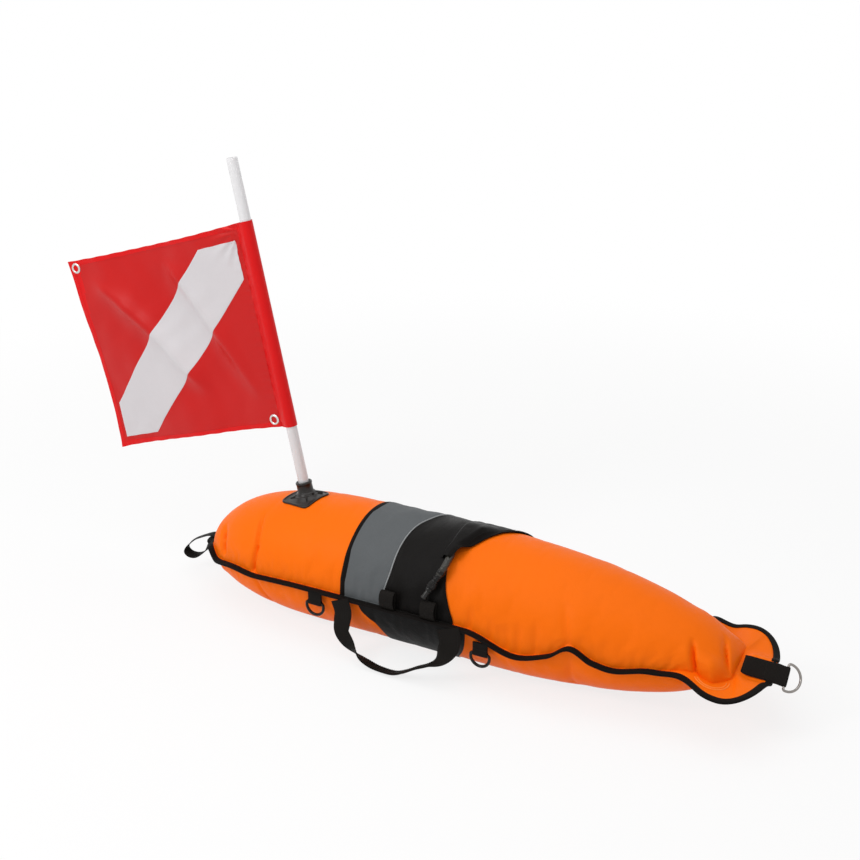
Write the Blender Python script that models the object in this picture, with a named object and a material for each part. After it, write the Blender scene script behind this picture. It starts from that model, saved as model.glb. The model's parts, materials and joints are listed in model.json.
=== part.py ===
"""Inflatable spearfishing float with a dive flag, modelled piece by piece.

Run it with blender --background --python part.py, or from the text editor.
Metres, +Z up. +X points to the bow, the end with the steel ring. The carry
handle hangs on the -Y side. The origin is the middle of the flat patch under
the belly, on the floor.
"""

from math import cos, log, pi, radians, sin, sqrt

import bmesh
import bpy
import numpy as np
from mathutils import Matrix, Vector

# General fits
GAP = 0.0003
SEWN_GAP = 0.0005

# Air chamber, measured outside the fabric cover
HALF_WIDTH = 0.1135
CROWN = 0.1080
BELLY = 0.1050
SEAM_HEIGHT = 0.1005
STERN_SHOULDER = -0.190
STERN_END = -0.487
STERN_ROUNDING = 2.75
STERN_END_HALF = 0.014
STERN_SEAM_DROP = 0.006
BOW_SHOULDER = 0.030
BOW_END = 0.456
BOW_CONE = 0.38
BOW_CONE_CURVE = 1.8
BOW_ROUNDING = 4.5
BOW_END_HALF = 0.034
BOW_SEAM_DROP = 0.0105
SEAM_WAVES = (
    (0.140, -0.0225, -0.0225, 0.085), (0.226, 0.0140, 0.0140, 0.034),
    (0.292, -0.0090, -0.0060, 0.052), (0.392, 0.0050, 0.0150, 0.036),
    (0.455, -0.0065, 0.0085, 0.052), (-0.499, -0.0155, -0.0155, 0.250),
)

# Sewn flange round the chamber
COVER = 0.0008
FLANGE = 0.0115
STERN_TIP = -0.511
STERN_TAB_HALF = 0.025
STERN_TAB_CORNER = 0.024
BOW_TIP = 0.5095
PADDLE_CORNER = 1.9
FLAT_EDGE = 0.0095
PADDLE_HALF = 0.105
PADDLE_START = 0.352
PADDLE_FULL = 0.440
TAPE = 0.0009
TAPE_LEG = 0.0080

# Grid of the covers
ARCH_STEPS = 12

# Inner bladder
BLADDER_WALL = 0.0007
BLADDER_INSET = 0.0038
BLADDER_STEPS = 20
BLADDER_STATIONS = 17

# Bands round the middle
PANEL = 0.0008
PANEL_FOOT = 0.0030
GREY_EDGE = -0.1685
EDGE_TAPE_WIDTH = 0.0090
EDGE_TAPE = 0.0015
PIPING_LINE = (
    (0.0, -0.0950), (30.0, -0.0870), (70.0, -0.0815), (110.0, -0.0600), (180.0, -0.0600),
)
PIPING_WIDTH = 0.0036
PIPING = 0.0022
BLACK_EDGE = (
    (0.0, 0.0320), (16.0, 0.0230), (28.0, 0.0145), (41.0, 0.0065), (55.0, -0.0050), (180.0, -0.0050),
)
FLAP_EDGE = ((60.0, 0.0210), (71.0, 0.0420), (90.0, 0.0670), (110.0, 0.0820), (180.0, 0.0860))
FLAP_START_ANGLE = 60.0
FLAP_BULGE = 0.0118
FLAP_BULGE_STERN = 0.0200
FLAP_BULGE_BOW = 0.0400
PATCH_BOTTOM_ANGLE = 58.0
PATCH_STERN = ((0.0, -0.1400), (9.0, -0.1340), (21.0, -0.1130), (60.0, -0.1020))
PATCH_BOW = ((0.0, 0.0540), (18.0, 0.0500), (60.0, 0.0200))

# Flag mast and its socket
MAST_X = -0.306
MAST_LEAN = 11.8
MAST_RADIUS = 0.0092
MAST_WALL = 0.0013
MAST_LENGTH = 0.577
MAST_SIDES = 20
SOCKET_PLATE = 0.057
SOCKET_CORNER = 0.010
SOCKET_YAW = -11.5
SOCKET_PLATE_THICK = 0.0016
SOCKET_RIM = 0.0013
SOCKET_RIM_WIDTH = 0.0032
SOCKET_BORE_EASE = 0.0012
SOCKET_WALL = 0.0032
SOCKET_HEIGHT = 0.0270
SOCKET_LIP = 0.0055
SOCKET_LIP_OUT = 0.0010
SOCKET_FOOT_RADIUS = 0.0200
SOCKET_STEP_RADIUS = 0.0168
SOCKET_FOOT_TOP = 0.0040
SOCKET_STEP_TOP = 0.0075
SOCKET_FLOOR = 0.0022
SOCKET_SIDES = 24

# Dive flag
FLAG_FOOT = 0.1275
FLAG_HOIST = 0.350
FLAG_FLY = 0.392
FLAG_DROOP = 4.9
CLOTH = 0.0007
SLEEVE_EASE = 0.0009
SLEEVE_SEWN = 0.0190
HEM = 0.0100
HEM_EXTRA = 0.0004
FLAG_FOLD = 0.0060
FLAG_CREASE = 0.0050
FLAG_CREASE_WIDTH = 0.035
FLAG_ROWS = 9
FLAG_COLUMNS = 11
STRIPE = 0.0004
STRIPE_HOIST_INSET = 0.0345
STRIPE_TOP_INSET = 0.0265
STRIPE_FLY_INSET = 0.0165
STRIPE_BOTTOM_INSET = 0.0170
STRIPE_END_LONG = 0.0740
STRIPE_END_SHORT = 0.0655
GROMMET_OUTER = 0.0095
GROMMET_HOLE = 0.0054
GROMMET_WALL = 0.0006
GROMMET_INSET = 0.0135
GROMMET_SIDES = 16

# Webbing tabs and D-rings on the sides
WEBBING = 0.0250
WEBBING_THICK = 0.0014
SIDE_RING_WIRE = 0.0025
SIDE_RING_HALF = 0.0160
SIDE_RING_ARM = 0.0060
SIDE_RING_STERN_X = -0.2180
SIDE_RING_BOW_X = 0.0830
TAB_DROP = 0.0195
TAB_STAND_OFF = 0.0070
RING_SIDES = 8

# Bow strap and steel ring
BOW_STRAP = 0.0300
BOW_STRAP_INNER = 0.4620
BOW_STRAP_REACH = 0.0170
BOW_STRAP_DROP = 0.0015
BOW_STRAP_TWIST = 46.0
BOW_RING_WIRE = 0.0020
BOW_RING_HALF = 0.0205
BOW_RING_ARM = 0.0040
BOW_RING_OUT = -52.0

# Stern loop
STERN_STRAP = 0.0190
STERN_LOOP_INNER = -0.4920

# Carry handle
HANDLE_STERN_X = -0.1660
HANDLE_BOW_X = 0.0300
HANDLE_THICK = 0.0018

# Standing webbing loops over the handle
LOOP_HEIGHT = 0.0290
LOOP_DEPTH = 0.0095
LOOP_STERN_X = -0.0800
LOOP_BOW_X = -0.0070

# Oral inflator
PORT_X = 0.0200
PORT_ANGLE = 76.0
PORT_FLANGE = 0.0130
PORT_FLANGE_THICK = 0.0011
PORT_DOME = 0.0085
PORT_DOME_HEIGHT = 0.0090
SPIGOT_RADIUS = 0.0030
HOSE_RADIUS = 0.0060
HOSE_BORE = 0.0036
HOSE_LIFT = 0.0080
HOSE_STRAIGHT = 0.0100
HOSE_ROOT_X = 0.0120
HOSE_ROOT_ANGLE = 55.5
VALVE_HOSE_X = 0.0010
VALVE_HOSE_ANGLE = 37.0
VALVE_LIP_X = -0.0165
VALVE_LIP_ANGLE = 18.0
VALVE_LIFT = 0.0125
VALVE_RADIUS = 0.0060
VALVE_BORE = 0.0041
VALVE_NECK_BORE = 0.0022
VALVE_LENGTH = 0.0300
CLAMP_LENGTH = 0.0045
CLAMP_WALL = 0.0009
LOCK_RING_RADIUS = 0.0072
LOCK_RING_LENGTH = 0.0110
LOCK_RING_START = 0.0135
LOCK_RING_RIBS = 12
MOUTHPIECE_RADIUS = 0.0042
MOUTHPIECE_BORE = 0.0026
MOUTHPIECE_LIP = 0.0056
MOUTHPIECE_START = 0.0220
PRESS_TRAVEL = 0.0040
STEM_RADIUS = 0.0009
POPPET_RADIUS = 0.0036
POPPET_THICK = 0.0012
SEAT_START = 0.0085
SEAT_THICK = 0.0016
SEAL_WIRE = 0.0005
SPRING_WIRE = 0.00035
SPRING_RADIUS = 0.0032
SPRING_TURNS = 5

COLOURS = {
    "orange_nylon": ((1.0, 0.20, 0.02), 0.55, 0.0),
    "bladder_film": ((0.80, 0.78, 0.70), 0.35, 0.0),
    "grey_nylon": ((0.11, 0.12, 0.13), 0.60, 0.0),
    "black_nylon": ((0.010, 0.010, 0.011), 0.65, 0.0),
    "black_webbing": ((0.014, 0.014, 0.014), 0.80, 0.0),
    "reflective_piping": ((0.45, 0.46, 0.46), 0.40, 0.0),
    "black_rubber": ((0.012, 0.012, 0.012), 0.35, 0.0),
    "clear_tube": ((0.80, 0.79, 0.80), 0.25, 0.0),
    "red_cloth": ((0.62, 0.02, 0.02), 0.60, 0.0),
    "white_cloth": ((0.70, 0.66, 0.69), 0.60, 0.0),
    "steel": ((0.60, 0.60, 0.58), 0.25, 1.0),
    "black_plastic": ((0.012, 0.012, 0.012), 0.40, 0.0),
    "grey_hose": ((0.08, 0.08, 0.08), 0.45, 0.0),
}


def material(name):
    """The named finish as a Principled material."""
    if name in bpy.data.materials:
        return bpy.data.materials[name]
    colour, roughness, metallic = COLOURS[name]
    made = bpy.data.materials.new(name)
    made.use_nodes = True
    shader = made.node_tree.nodes["Principled BSDF"]
    shader.inputs["Base Color"].default_value = (*colour, 1.0)
    shader.inputs["Roughness"].default_value = roughness
    shader.inputs["Metallic"].default_value = metallic
    return made


def add_object(name, data, finish, parent=None, matrix=None):
    """Links mesh or curve data as one object of the float."""
    made = bpy.data.objects.new(name, data)
    data.materials.append(material(finish))
    bpy.context.scene.collection.objects.link(made)
    if matrix is not None:
        made.matrix_world = matrix
    if parent is not None:
        made.parent = parent
    return made


def add_mesh(name, points, faces, finish, parent=None, matrix=None, sharp=40.0):
    """An object from points and faces, with its faces turned outwards."""
    mesh = bpy.data.meshes.new(name)
    mesh.from_pydata([tuple(map(float, p)) for p in points], [], [tuple(f) for f in faces])
    form = bmesh.new()
    form.from_mesh(mesh)
    bmesh.ops.remove_doubles(form, verts=form.verts, dist=1e-7)
    bmesh.ops.recalc_face_normals(form, faces=form.faces)
    form.to_mesh(mesh)
    form.free()
    mesh.shade_smooth()
    mesh.set_sharp_from_angle(angle=radians(sharp))
    return add_object(name, mesh, finish, parent, matrix)


def pivot(name, place, matrix=None):
    """An empty on a joint's axis."""
    empty = bpy.data.objects.new(name, None)
    bpy.context.scene.collection.objects.link(empty)
    empty.matrix_world = Matrix.Translation(place) if matrix is None else matrix
    return empty


def grid_faces(rows, columns, start=0, close_rows=False, close_columns=False):
    """Quads of a grid of points, wrapped round either way where asked."""
    faces = []
    for i in range(rows if close_rows else rows - 1):
        for j in range(columns if close_columns else columns - 1):
            i1 = (i + 1) % rows
            j1 = (j + 1) % columns
            near, far = start + i * columns, start + i1 * columns
            faces.append((near + j, near + j1, far + j1, far + j))
    return faces


def halves(quads):
    """Each quad as two triangles, always split the same way."""
    return [t for a, b, c, d in quads for t in ((a, b, c), (a, c, d))]


def wall_between(outer, inner, halved=False):
    """Points and faces of a sheet's two sides and the rim between them."""
    rows, columns = outer.shape[:2]
    count = rows * columns
    points = np.concatenate([outer.reshape(-1, 3), inner.reshape(-1, 3)])
    side = grid_faces(rows, columns)
    if halved:
        side = halves(side)
    faces = side + [tuple(i + count for i in f[::-1]) for f in side]
    edge = [(0, j) for j in range(columns)] + [(i, columns - 1) for i in range(1, rows)]
    edge += [(rows - 1, j) for j in range(columns - 2, -1, -1)] + [(i, 0) for i in range(rows - 2, 0, -1)]
    ring = [i * columns + j for i, j in edge]
    for a, b in zip(ring, ring[1:] + ring[:1]):
        faces.append((b, a, a + count, b + count))
    return points, faces


def swept(sections, closed=False):
    """Points and faces of a section carried along a path, capped unless the path closes."""
    rows, columns = sections.shape[:2]
    faces = grid_faces(rows, columns, 0, closed, True)
    if not closed:
        faces.append(tuple(range(columns))[::-1])
        faces.append(tuple((rows - 1) * columns + j for j in range(columns)))
    return sections.reshape(-1, 3), faces


def strap_faces(sections):
    """Points and faces of a strap's sections, both wide sides split along the same diagonals."""
    points, faces = swept(sections)
    columns = sections.shape[1]
    quads = [q if q[0] % columns < columns // 2 else q[1:] + q[:1] for q in faces[:-2]]
    return points, halves(quads) + faces[-2:]


def turned(profile, sides):
    """Points and faces of a closed (radius, height) profile turned about Z; radius 0 is a pole."""
    points, rings = [], []
    for radius, height in profile:
        if radius < 1e-6:
            rings.append([len(points)])
            points.append((0.0, 0.0, height))
            continue
        rings.append(list(range(len(points), len(points) + sides)))
        turns = [2 * pi * k / sides for k in range(sides)]
        points += [(radius * cos(a), radius * sin(a), height) for a in turns]
    faces = []
    pairs = list(zip(rings, rings[1:]))
    if len(rings[0]) > 1:
        pairs.append((rings[-1], rings[0]))
    for low, high in pairs:
        for k in range(sides):
            n = (k + 1) % sides
            if len(low) == 1 and len(high) > 1:
                faces.append((low[0], high[n], high[k]))
            elif len(high) == 1 and len(low) > 1:
                faces.append((low[k], low[n], high[0]))
            elif len(low) > 1:
                faces.append((low[k], low[n], high[n], high[k]))
    return points, faces


def fair(line, at):
    """A smooth value at a place along named (place, value) stations, level past its ends."""
    places = np.array([p for p, _ in line])
    values = np.array([v for _, v in line])
    slopes = np.gradient(values, places)
    slopes[0] = slopes[-1] = 0.0
    at = np.clip(at, places[0], places[-1])
    i = np.clip(np.searchsorted(places, at) - 1, 0, len(places) - 2)
    span = places[i + 1] - places[i]
    u = (at - places[i]) / span
    rise = values[i] * (2 * u**3 - 3 * u**2 + 1) + values[i + 1] * (3 * u**2 - 2 * u**3)
    return rise + span * (slopes[i] * (u**3 - 2 * u**2 + u) + slopes[i + 1] * (u**3 - u**2))


def ramp(value, low, high):
    """A smooth step from 0 at low to 1 at high."""
    u = np.clip((value - low) / (high - low), 0.0, 1.0)
    return u * u * (3 - 2 * u)


def stern_share(x, grow=0.0):
    return np.clip((STERN_SHOULDER - x) / (STERN_SHOULDER - STERN_END + grow), 0.0, 1.0)


def bow_share(x, grow=0.0):
    return np.clip((x - BOW_SHOULDER) / (BOW_END + grow - BOW_SHOULDER), 0.0, 1.0)


def fullness(x, grow=0.0):
    """(cone, rounding) of the chamber at x: a slow taper to the bow, and the closing of both ends.

    grow moves both ends outwards, for shapes that stand off the chamber all round.
    """
    cone = 1 - BOW_CONE * bow_share(x) ** BOW_CONE_CURVE
    stern, bow = stern_share(x, grow), bow_share(x, grow)
    closing = np.sqrt((1 - stern**STERN_ROUNDING) * (1 - bow**BOW_ROUNDING))
    return cone, closing


def chamber_half_width(x, grow=0.0):
    cone, closing = fullness(x, grow)
    end_half = np.where(x < 0, STERN_END_HALF, BOW_END_HALF)
    return end_half + (HALF_WIDTH * cone + grow - end_half) * closing


def crown_height(x, grow=0.0):
    cone, closing = fullness(x, grow)
    return (CROWN * cone + grow) * closing


def belly_depth(x, grow=0.0):
    cone, closing = fullness(x, grow)
    return (BELLY * cone + grow) * closing


def seam_height(x):
    """Height of the seam without its puckers."""
    drop = STERN_SEAM_DROP * ramp(stern_share(x), 0.0, 1.0)
    return SEAM_HEIGHT - drop - BOW_SEAM_DROP * bow_share(x)


def seam_wave(x, side=-1.0):
    """Puckers that lift and drop the seam where the fabric is gathered, side being -1 near to 1 far."""
    wave = 0.0 * x
    for middle, near_rise, far_rise, reach in SEAM_WAVES:
        close = np.clip(1 - np.abs(x - middle) / reach, 0.0, 1.0)
        rise = near_rise + (far_rise - near_rise) * (1 + side) / 2
        wave = wave + rise * close * close * (3 - 2 * close)
    return wave


def gathered(x, angle):
    """The puckers' rise round the chamber: whole at the seam and past its ends, none on the crown."""
    closing = fullness(x)[1]
    return seam_wave(x, -np.cos(angle)) * (1 - closing * np.abs(np.sin(angle))) ** 2


def flange_half(x):
    """Half width of the sewn outline: round the chamber, out to the bow paddle, and the stern tab."""
    along = chamber_half_width(x, FLANGE)
    paddle = ramp(x, PADDLE_START, PADDLE_FULL)
    along = along * (1 - paddle) + PADDLE_HALF * paddle
    corner = np.clip((x - PADDLE_FULL) / (BOW_TIP + 0.0005 - PADDLE_FULL), 0.0, 1.0)
    along = along * (1 - corner**3) ** (1 / PADDLE_CORNER)
    tab_share = np.clip((STERN_TIP + STERN_TAB_CORNER - x) / (STERN_TAB_CORNER + 0.0005), 0.0, 1.0)
    tab = STERN_TAB_HALF * (1 - tab_share**4) ** 0.5
    return np.where(x < 0, np.maximum(along * (x > STERN_END - FLANGE), tab), along)


def root_half(x):
    """Half width at the foot of the arch; past the chamber's ends it opens into the flat flange."""
    half = chamber_half_width(x)
    open_bow = ramp(x, BOW_END, BOW_END + 0.018)
    open_stern = ramp(-x, -STERN_END, -STERN_END + 0.010)
    opened = np.maximum(open_bow, open_stern)
    edge = flange_half(x)
    return half * (1 - opened) + np.maximum(edge - FLAT_EDGE, 0.25 * edge) * opened


def stations():
    """Places along the float, close together where the chamber rounds off or the seam puckers."""
    closing = (0.0, 0.0015, 0.005, 0.011, 0.020, 0.033, 0.050)
    line = [STERN_TIP, STERN_TIP + 0.0020, STERN_TIP + 0.0070]
    line += [STERN_END - FLANGE + 0.0003, STERN_END - 0.007, STERN_END - 0.003]
    line += [STERN_END + step for step in closing]
    line += [STERN_END + 0.072, STERN_END + 0.100, STERN_END + 0.137, STERN_END + 0.180, STERN_END + 0.235]
    line += [STERN_SHOULDER, -0.110, -0.040, BOW_SHOULDER]
    line += [SEAM_WAVES[0][0] - SEAM_WAVES[0][3], 0.078, 0.100, 0.121, SEAM_WAVES[0][0]]
    line += [0.160, 0.180, 0.202, SEAM_WAVES[1][0], 0.248, 0.268]
    line += [SEAM_WAVES[2][0], 0.320, PADDLE_START, 0.374, SEAM_WAVES[3][0]]
    line += [BOW_END - step for step in closing[-1:0:-1]]
    line += [BOW_END, 0.463, 0.474, 0.486, BOW_TIP - 0.0140, BOW_TIP - 0.0060, BOW_TIP - 0.0020, BOW_TIP]
    return np.array(line)


def arch_angles():
    return np.linspace(0.0, pi, ARCH_STEPS + 1)


def drawn_in(x, depth):
    """Place along the float moved towards its middle, so that end walls keep their thickness."""
    middle = (STERN_TIP + BOW_TIP) / 2
    return middle + (x - middle) * (1 - 2 * depth / (BOW_TIP - STERN_TIP))


def cover_side(upper, depth):
    """One side of a cover: flange edge, arch over the chamber, flange edge, at a depth into the fabric."""
    x = stations()[:, None]
    angle = arch_angles()[None, :]
    half = root_half(x) - depth * (chamber_half_width(x) > BOW_END_HALF)
    height = crown_height(x) if upper else belly_depth(x)
    base = GAP / 2 + COVER - depth
    y = -half * np.cos(angle)
    rise = base + height * np.sin(angle)
    z = seam_height(x) + (rise if upper else -rise) + gathered(x, angle)
    if not upper:
        z = np.maximum(z, depth)
    place = drawn_in(x, depth)
    arch = np.stack([place + 0 * angle, y, z], axis=-1)
    near, far = arch[:, :1].copy(), arch[:, -1:].copy()
    near[:, 0, 1] = -flange_half(x[:, 0])
    far[:, 0, 1] = flange_half(x[:, 0])
    return np.concatenate([near, arch, far], axis=1)


def over_chamber(x, angle, lift):
    """A point over the upper cover (angle from 0) or the lower one (from -0 down), lifted off it."""
    half = chamber_half_width(x) + lift
    seam = seam_height(x) + gathered(x, angle)
    top = seam + GAP / 2 + COVER + (crown_height(x) + lift) * np.sin(angle)
    bottom = seam - GAP / 2 - COVER + (belly_depth(x) + lift) * np.sin(angle)
    above = np.copysign(1.0, angle) > 0
    return np.stack([x + 0 * angle, -half * np.cos(angle), np.where(above, top, bottom)], axis=-1)


def crown_at(x, y, lift):
    """A point on top of the upper cover at a place in plan, lifted off it."""
    half = chamber_half_width(x)
    angle = np.arccos(-y / half)
    z = seam_height(x) + gathered(x, angle) + GAP / 2 + COVER + crown_height(x) * np.sin(angle)
    return np.array([x, y, z + lift])


def outward(x, angle):
    """The outward direction of the cover at a place, in its cross-section."""
    way = Vector((0, -cos(angle) / float(chamber_half_width(x)), sin(angle) / float(crown_height(x))))
    return way.normalized()


def make_covers():
    for name, upper in (("cover_upper", True), ("cover_lower", False)):
        points, faces = wall_between(cover_side(upper, 0.0), cover_side(upper, COVER), halved=True)
        add_mesh(name, points, faces, "orange_nylon")


def bladder_loops(depth):
    """Closed loops of the bladder, its ends and sides drawn in from the chamber by a depth."""
    ends = sin(pi / 2 * 0.985)
    share = np.sin(np.linspace(-pi / 2, pi / 2, BLADDER_STATIONS)) * ends
    middle = (STERN_END + BOW_END) / 2
    x = (middle + share * (BOW_END - STERN_END - 2 * depth) / 2)[:, None]
    angle = np.linspace(0, 2 * pi, BLADDER_STEPS, endpoint=False)[None, :]
    half = chamber_half_width(x, -depth)
    up = crown_height(x, -depth)
    down = belly_depth(x, -depth)
    z = seam_height(x) + np.where(np.sin(angle) >= 0, up, down) * np.sin(angle)
    z = z + gathered(x, angle)
    return np.stack([x + 0 * angle, -half * np.cos(angle), np.maximum(z, depth / 2)], axis=-1)


def make_bladder():
    """A hollow air bladder, open only through the port's hole."""
    outer = bladder_loops(BLADDER_INSET)
    inner = bladder_loops(BLADDER_INSET + BLADDER_WALL)
    count = outer.shape[0] * outer.shape[1]
    points, faces = swept(outer)
    faces = halves(faces[:-2]) + faces[-2:]
    points = np.concatenate([points, inner.reshape(-1, 3)])
    mesh = bpy.data.meshes.new("inner_bladder")
    faces += [tuple(i + count for i in f[::-1]) for f in faces]
    mesh.from_pydata([tuple(map(float, p)) for p in points], [], faces)
    mesh.shade_smooth()
    mesh.set_sharp_from_angle(angle=radians(40))
    made = add_object("inner_bladder", mesh, "bladder_film")
    cut(made, port_hole_cutter())
    cut(bpy.data.objects["cover_upper"], port_hole_cutter())


def cut(target, cutter):
    """Takes the cutter's space out of the target."""
    step = target.modifiers.new("cut", "BOOLEAN")
    step.operation = "DIFFERENCE"
    step.solver = "EXACT"
    step.object = cutter
    cutter.hide_render = True
    cutter.display_type = "WIRE"
    cutter.hide_set(True)


def port_frame():
    """The port's place on the cover, its Z axis standing out of it."""
    angle = radians(PORT_ANGLE)
    place = Vector(over_chamber(np.array(PORT_X), np.array(angle), 0.0))
    up = outward(PORT_X, angle)
    along = Vector((1, 0, 0))
    side = up.cross(along).normalized()
    frame = Matrix((along, side, up)).transposed().to_4x4()
    frame.translation = place
    return frame


def port_hole_cutter():
    radius = PORT_DOME - 0.0030
    points, faces = turned([(0, -0.012), (radius, -0.012), (radius, 0.004), (0, 0.004)], GROMMET_SIDES)
    return add_mesh("port_hole_cutter", points, faces, "black_rubber", matrix=port_frame())


def outline_path():
    """The sewn outline in plan, stern tip to bow tip on the -Y side and back on the other."""
    x = stations()
    near = np.stack([x, -flange_half(x), seam_height(x) + seam_wave(x)], axis=-1)
    far = np.stack([x, flange_half(x), seam_height(x) + seam_wave(x, 1.0)], axis=-1)
    return np.concatenate([near, far[::-1]])


def make_seam_binding():
    """Folded tape round the flange: a U section carried round the outline."""
    path = outline_path()
    ahead = np.roll(path, -1, axis=0) - path
    ahead[:, 2] = 0
    ahead /= np.linalg.norm(ahead, axis=1, keepdims=True)
    out_ahead = np.stack([ahead[:, 1], -ahead[:, 0], 0 * ahead[:, 0]], axis=-1)
    out_behind = np.roll(out_ahead, 1, axis=0)
    out = out_ahead + out_behind
    out /= np.linalg.norm(out, axis=1, keepdims=True)
    out /= np.maximum((out * out_ahead).sum(axis=1, keepdims=True), 0.75)
    along_side = (path[:, 0] > STERN_END + 0.060) & (path[:, 0] < BOW_END - 0.030)
    out[along_side] = np.sign(path[along_side, 1:2]) * np.array([0, 1.0, 0])
    inside = GAP / 2 + COVER + GAP
    outside = inside + TAPE
    section = np.array((
        (-TAPE_LEG, inside), (-TAPE_LEG, outside), (GAP, outside), (GAP + TAPE, 0.0),
        (GAP, -outside), (-TAPE_LEG, -outside), (-TAPE_LEG, -inside), (GAP, -inside), (GAP, inside),
    ))
    rings = path[:, None, :] + out[:, None, :] * section[None, :, :1]
    x, half = stations(), len(path) // 2
    for side, part in ((-1.0, slice(0, half)), (1.0, slice(half, None))):
        level = np.interp(rings[part, :, 0], x, seam_height(x) + seam_wave(x, side))
        rings[part, :, 2] = level + section[None, :, 1]
    points, faces = swept(rings, closed=True)
    add_mesh("seam_binding", points, faces, "black_webbing")


def band_angles(start, end):
    """The covers' own angles between two limits, with the limits, so that a band lies on their facets."""
    steps = np.degrees(arch_angles())
    inside = [a for a in steps if start + 2 < a < end - 2]
    return np.radians([start] + inside + [end])


def make_band(name, finish, stern_edge, bow_edge, thick, start=0.0, end=180.0, cells=3, bulge=None, sign=1):
    """A fabric band sewn over a cover between two edge lines given as x at each angle.

    Where a band starts or ends at the seam it has a foot that lies on the flange up to the tape.
    """
    angles = band_angles(start, end)
    degrees = np.degrees(angles)
    share = np.linspace(0, 1, cells + 1)[:, None]
    left, right = stern_edge(degrees), bow_edge(degrees)
    x = left[None, :] + (right - left)[None, :] * share
    angle = angles[None, :] + 0 * x
    raised = 0 * x if bulge is None else bulge(x, angle)
    sides = []
    for lift in (SEWN_GAP + thick, SEWN_GAP):
        side = over_chamber(x, sign * angle, lift + raised)
        at_seam = (degrees == 0) | (degrees == 180)
        side[:, at_seam, 2] += sign * lift
        rows = [side]
        for column in np.flatnonzero(at_seam):
            foot = side[:, column:column + 1].copy()
            reach = chamber_half_width(x[:, column:column + 1]) + PANEL_FOOT
            foot[:, :, 1] = np.sign(foot[:, :, 1]) * reach
            rows = [foot] + rows if column == 0 else rows + [foot]
        sides.append(np.concatenate(rows, axis=1))
    points, faces = wall_between(*sides, halved=True)
    return add_mesh(name, points, faces, finish)


def flap_bulge(x, angle):
    """How far the flap stands off the chamber: a hood over the port, open towards the hose."""
    away = x - HOSE_ROOT_X
    reach = np.where(away < 0, FLAP_BULGE_STERN, FLAP_BULGE_BOW)
    across = ramp(1 - np.abs(away) / reach, 0.0, 0.62)
    return FLAP_BULGE * across * (1 - ramp(np.degrees(angle), 84.0, 110.0))


def make_bands():
    half_piping = PIPING_WIDTH / 2
    tape_bow = GREY_EDGE + EDGE_TAPE_WIDTH / 2

    def along(line, shift=0.0):
        return lambda angle: fair(line, angle) + shift

    def straight(x):
        return lambda angle: x + 0 * angle

    tape_stern = tape_bow - EDGE_TAPE_WIDTH
    piping_stern = along(PIPING_LINE, -half_piping)
    piping_bow = along(PIPING_LINE, half_piping)
    edge_tape = (straight(tape_stern), straight(tape_bow))
    grey = (straight(tape_bow + GAP), along(PIPING_LINE, -half_piping - GAP))
    make_band("panel_edge_binding", "black_webbing", *edge_tape, EDGE_TAPE, cells=1)
    make_band("grey_panel", "grey_nylon", *grey, PANEL)
    make_band("reflective_piping", "reflective_piping", piping_stern, piping_bow, PIPING, cells=1)
    make_band("black_panel", "black_nylon", along(PIPING_LINE, half_piping + GAP), along(BLACK_EDGE), PANEL)
    make_band(
        "inflator_flap", "black_nylon", along(BLACK_EDGE, 2 * GAP), along(FLAP_EDGE), PANEL,
        start=FLAP_START_ANGLE, cells=9, bulge=flap_bulge,
    )
    make_band(
        "lower_patch", "black_nylon", along(PATCH_STERN), along(PATCH_BOW), PANEL,
        end=PATCH_BOTTOM_ANGLE, cells=4, sign=-1,
    )


def seated_turning(name, finish, frame, outline, plate_thick, profile, sides, yaw, rim, rim_width):
    """A moulding whose plate follows the crown and whose turned part stands on the frame's axis.

    outline(direction) is the plate's reach; profile lists (radius, height) from
    the plate's top inwards to the pole of the bore's floor.
    """
    rings = []
    place = frame.translation
    directions = [yaw + 2 * pi * k / sides for k in range(sides)]
    turn = frame.to_3x3()

    def on_cover(share_or_inset, lift):
        ring = []
        for direction in directions:
            reach = outline(direction)
            reach = reach * share_or_inset if share_or_inset <= 1 else reach - (share_or_inset - 1)
            flat = turn @ Vector((reach * cos(direction), reach * sin(direction), 0))
            ring.append(crown_at(place.x + flat.x, place.y + flat.y, lift))
        return ring

    rings.append([crown_at(place.x, place.y, GAP)])
    rings.append(on_cover(0.5, GAP))
    rings.append(on_cover(1.0, GAP))
    rings.append(on_cover(1.0, GAP + plate_thick + rim))
    rings.append(on_cover(1 + rim_width, GAP + plate_thick + rim))
    rings.append(on_cover(1 + rim_width * 1.35, GAP + plate_thick))
    for radius, height in profile:
        if radius < 1e-6:
            rings.append([frame @ Vector((0, 0, height))])
        else:
            rings.append([frame @ Vector((radius * cos(d), radius * sin(d), height)) for d in directions])
    points, index = [], []
    for ring in rings:
        index.append(range(len(points), len(points) + len(ring)))
        points += [tuple(p) for p in ring]
    faces = []
    for low, high in zip(index, index[1:]):
        for k in range(sides):
            n = (k + 1) % sides
            if len(low) == 1:
                faces.append((low[0], high[n], high[k]))
            elif len(high) == 1:
                faces.append((low[k], low[n], high[0]))
            else:
                faces.append((low[k], low[n], high[n], high[k]))
    return add_mesh(name, points, faces, finish, sharp=35)


def mast_frame():
    """On top of the float under the mast, its Z axis along the leaning mast."""
    place = Vector(crown_at(MAST_X, 0.0, 0.0))
    return Matrix.Translation(place) @ Matrix.Rotation(radians(-MAST_LEAN), 4, "Y")


def rounded_square(half, corner, yaw):
    """Reach of a rounded square in a direction, from a superellipse fitted to its corner."""
    power = -log(2) / log(1 - (1 - sqrt(0.5)) * corner / half)

    def reach(direction):
        turn = direction - yaw
        return half / (abs(cos(turn)) ** power + abs(sin(turn)) ** power) ** (1 / power)

    return reach


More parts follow.
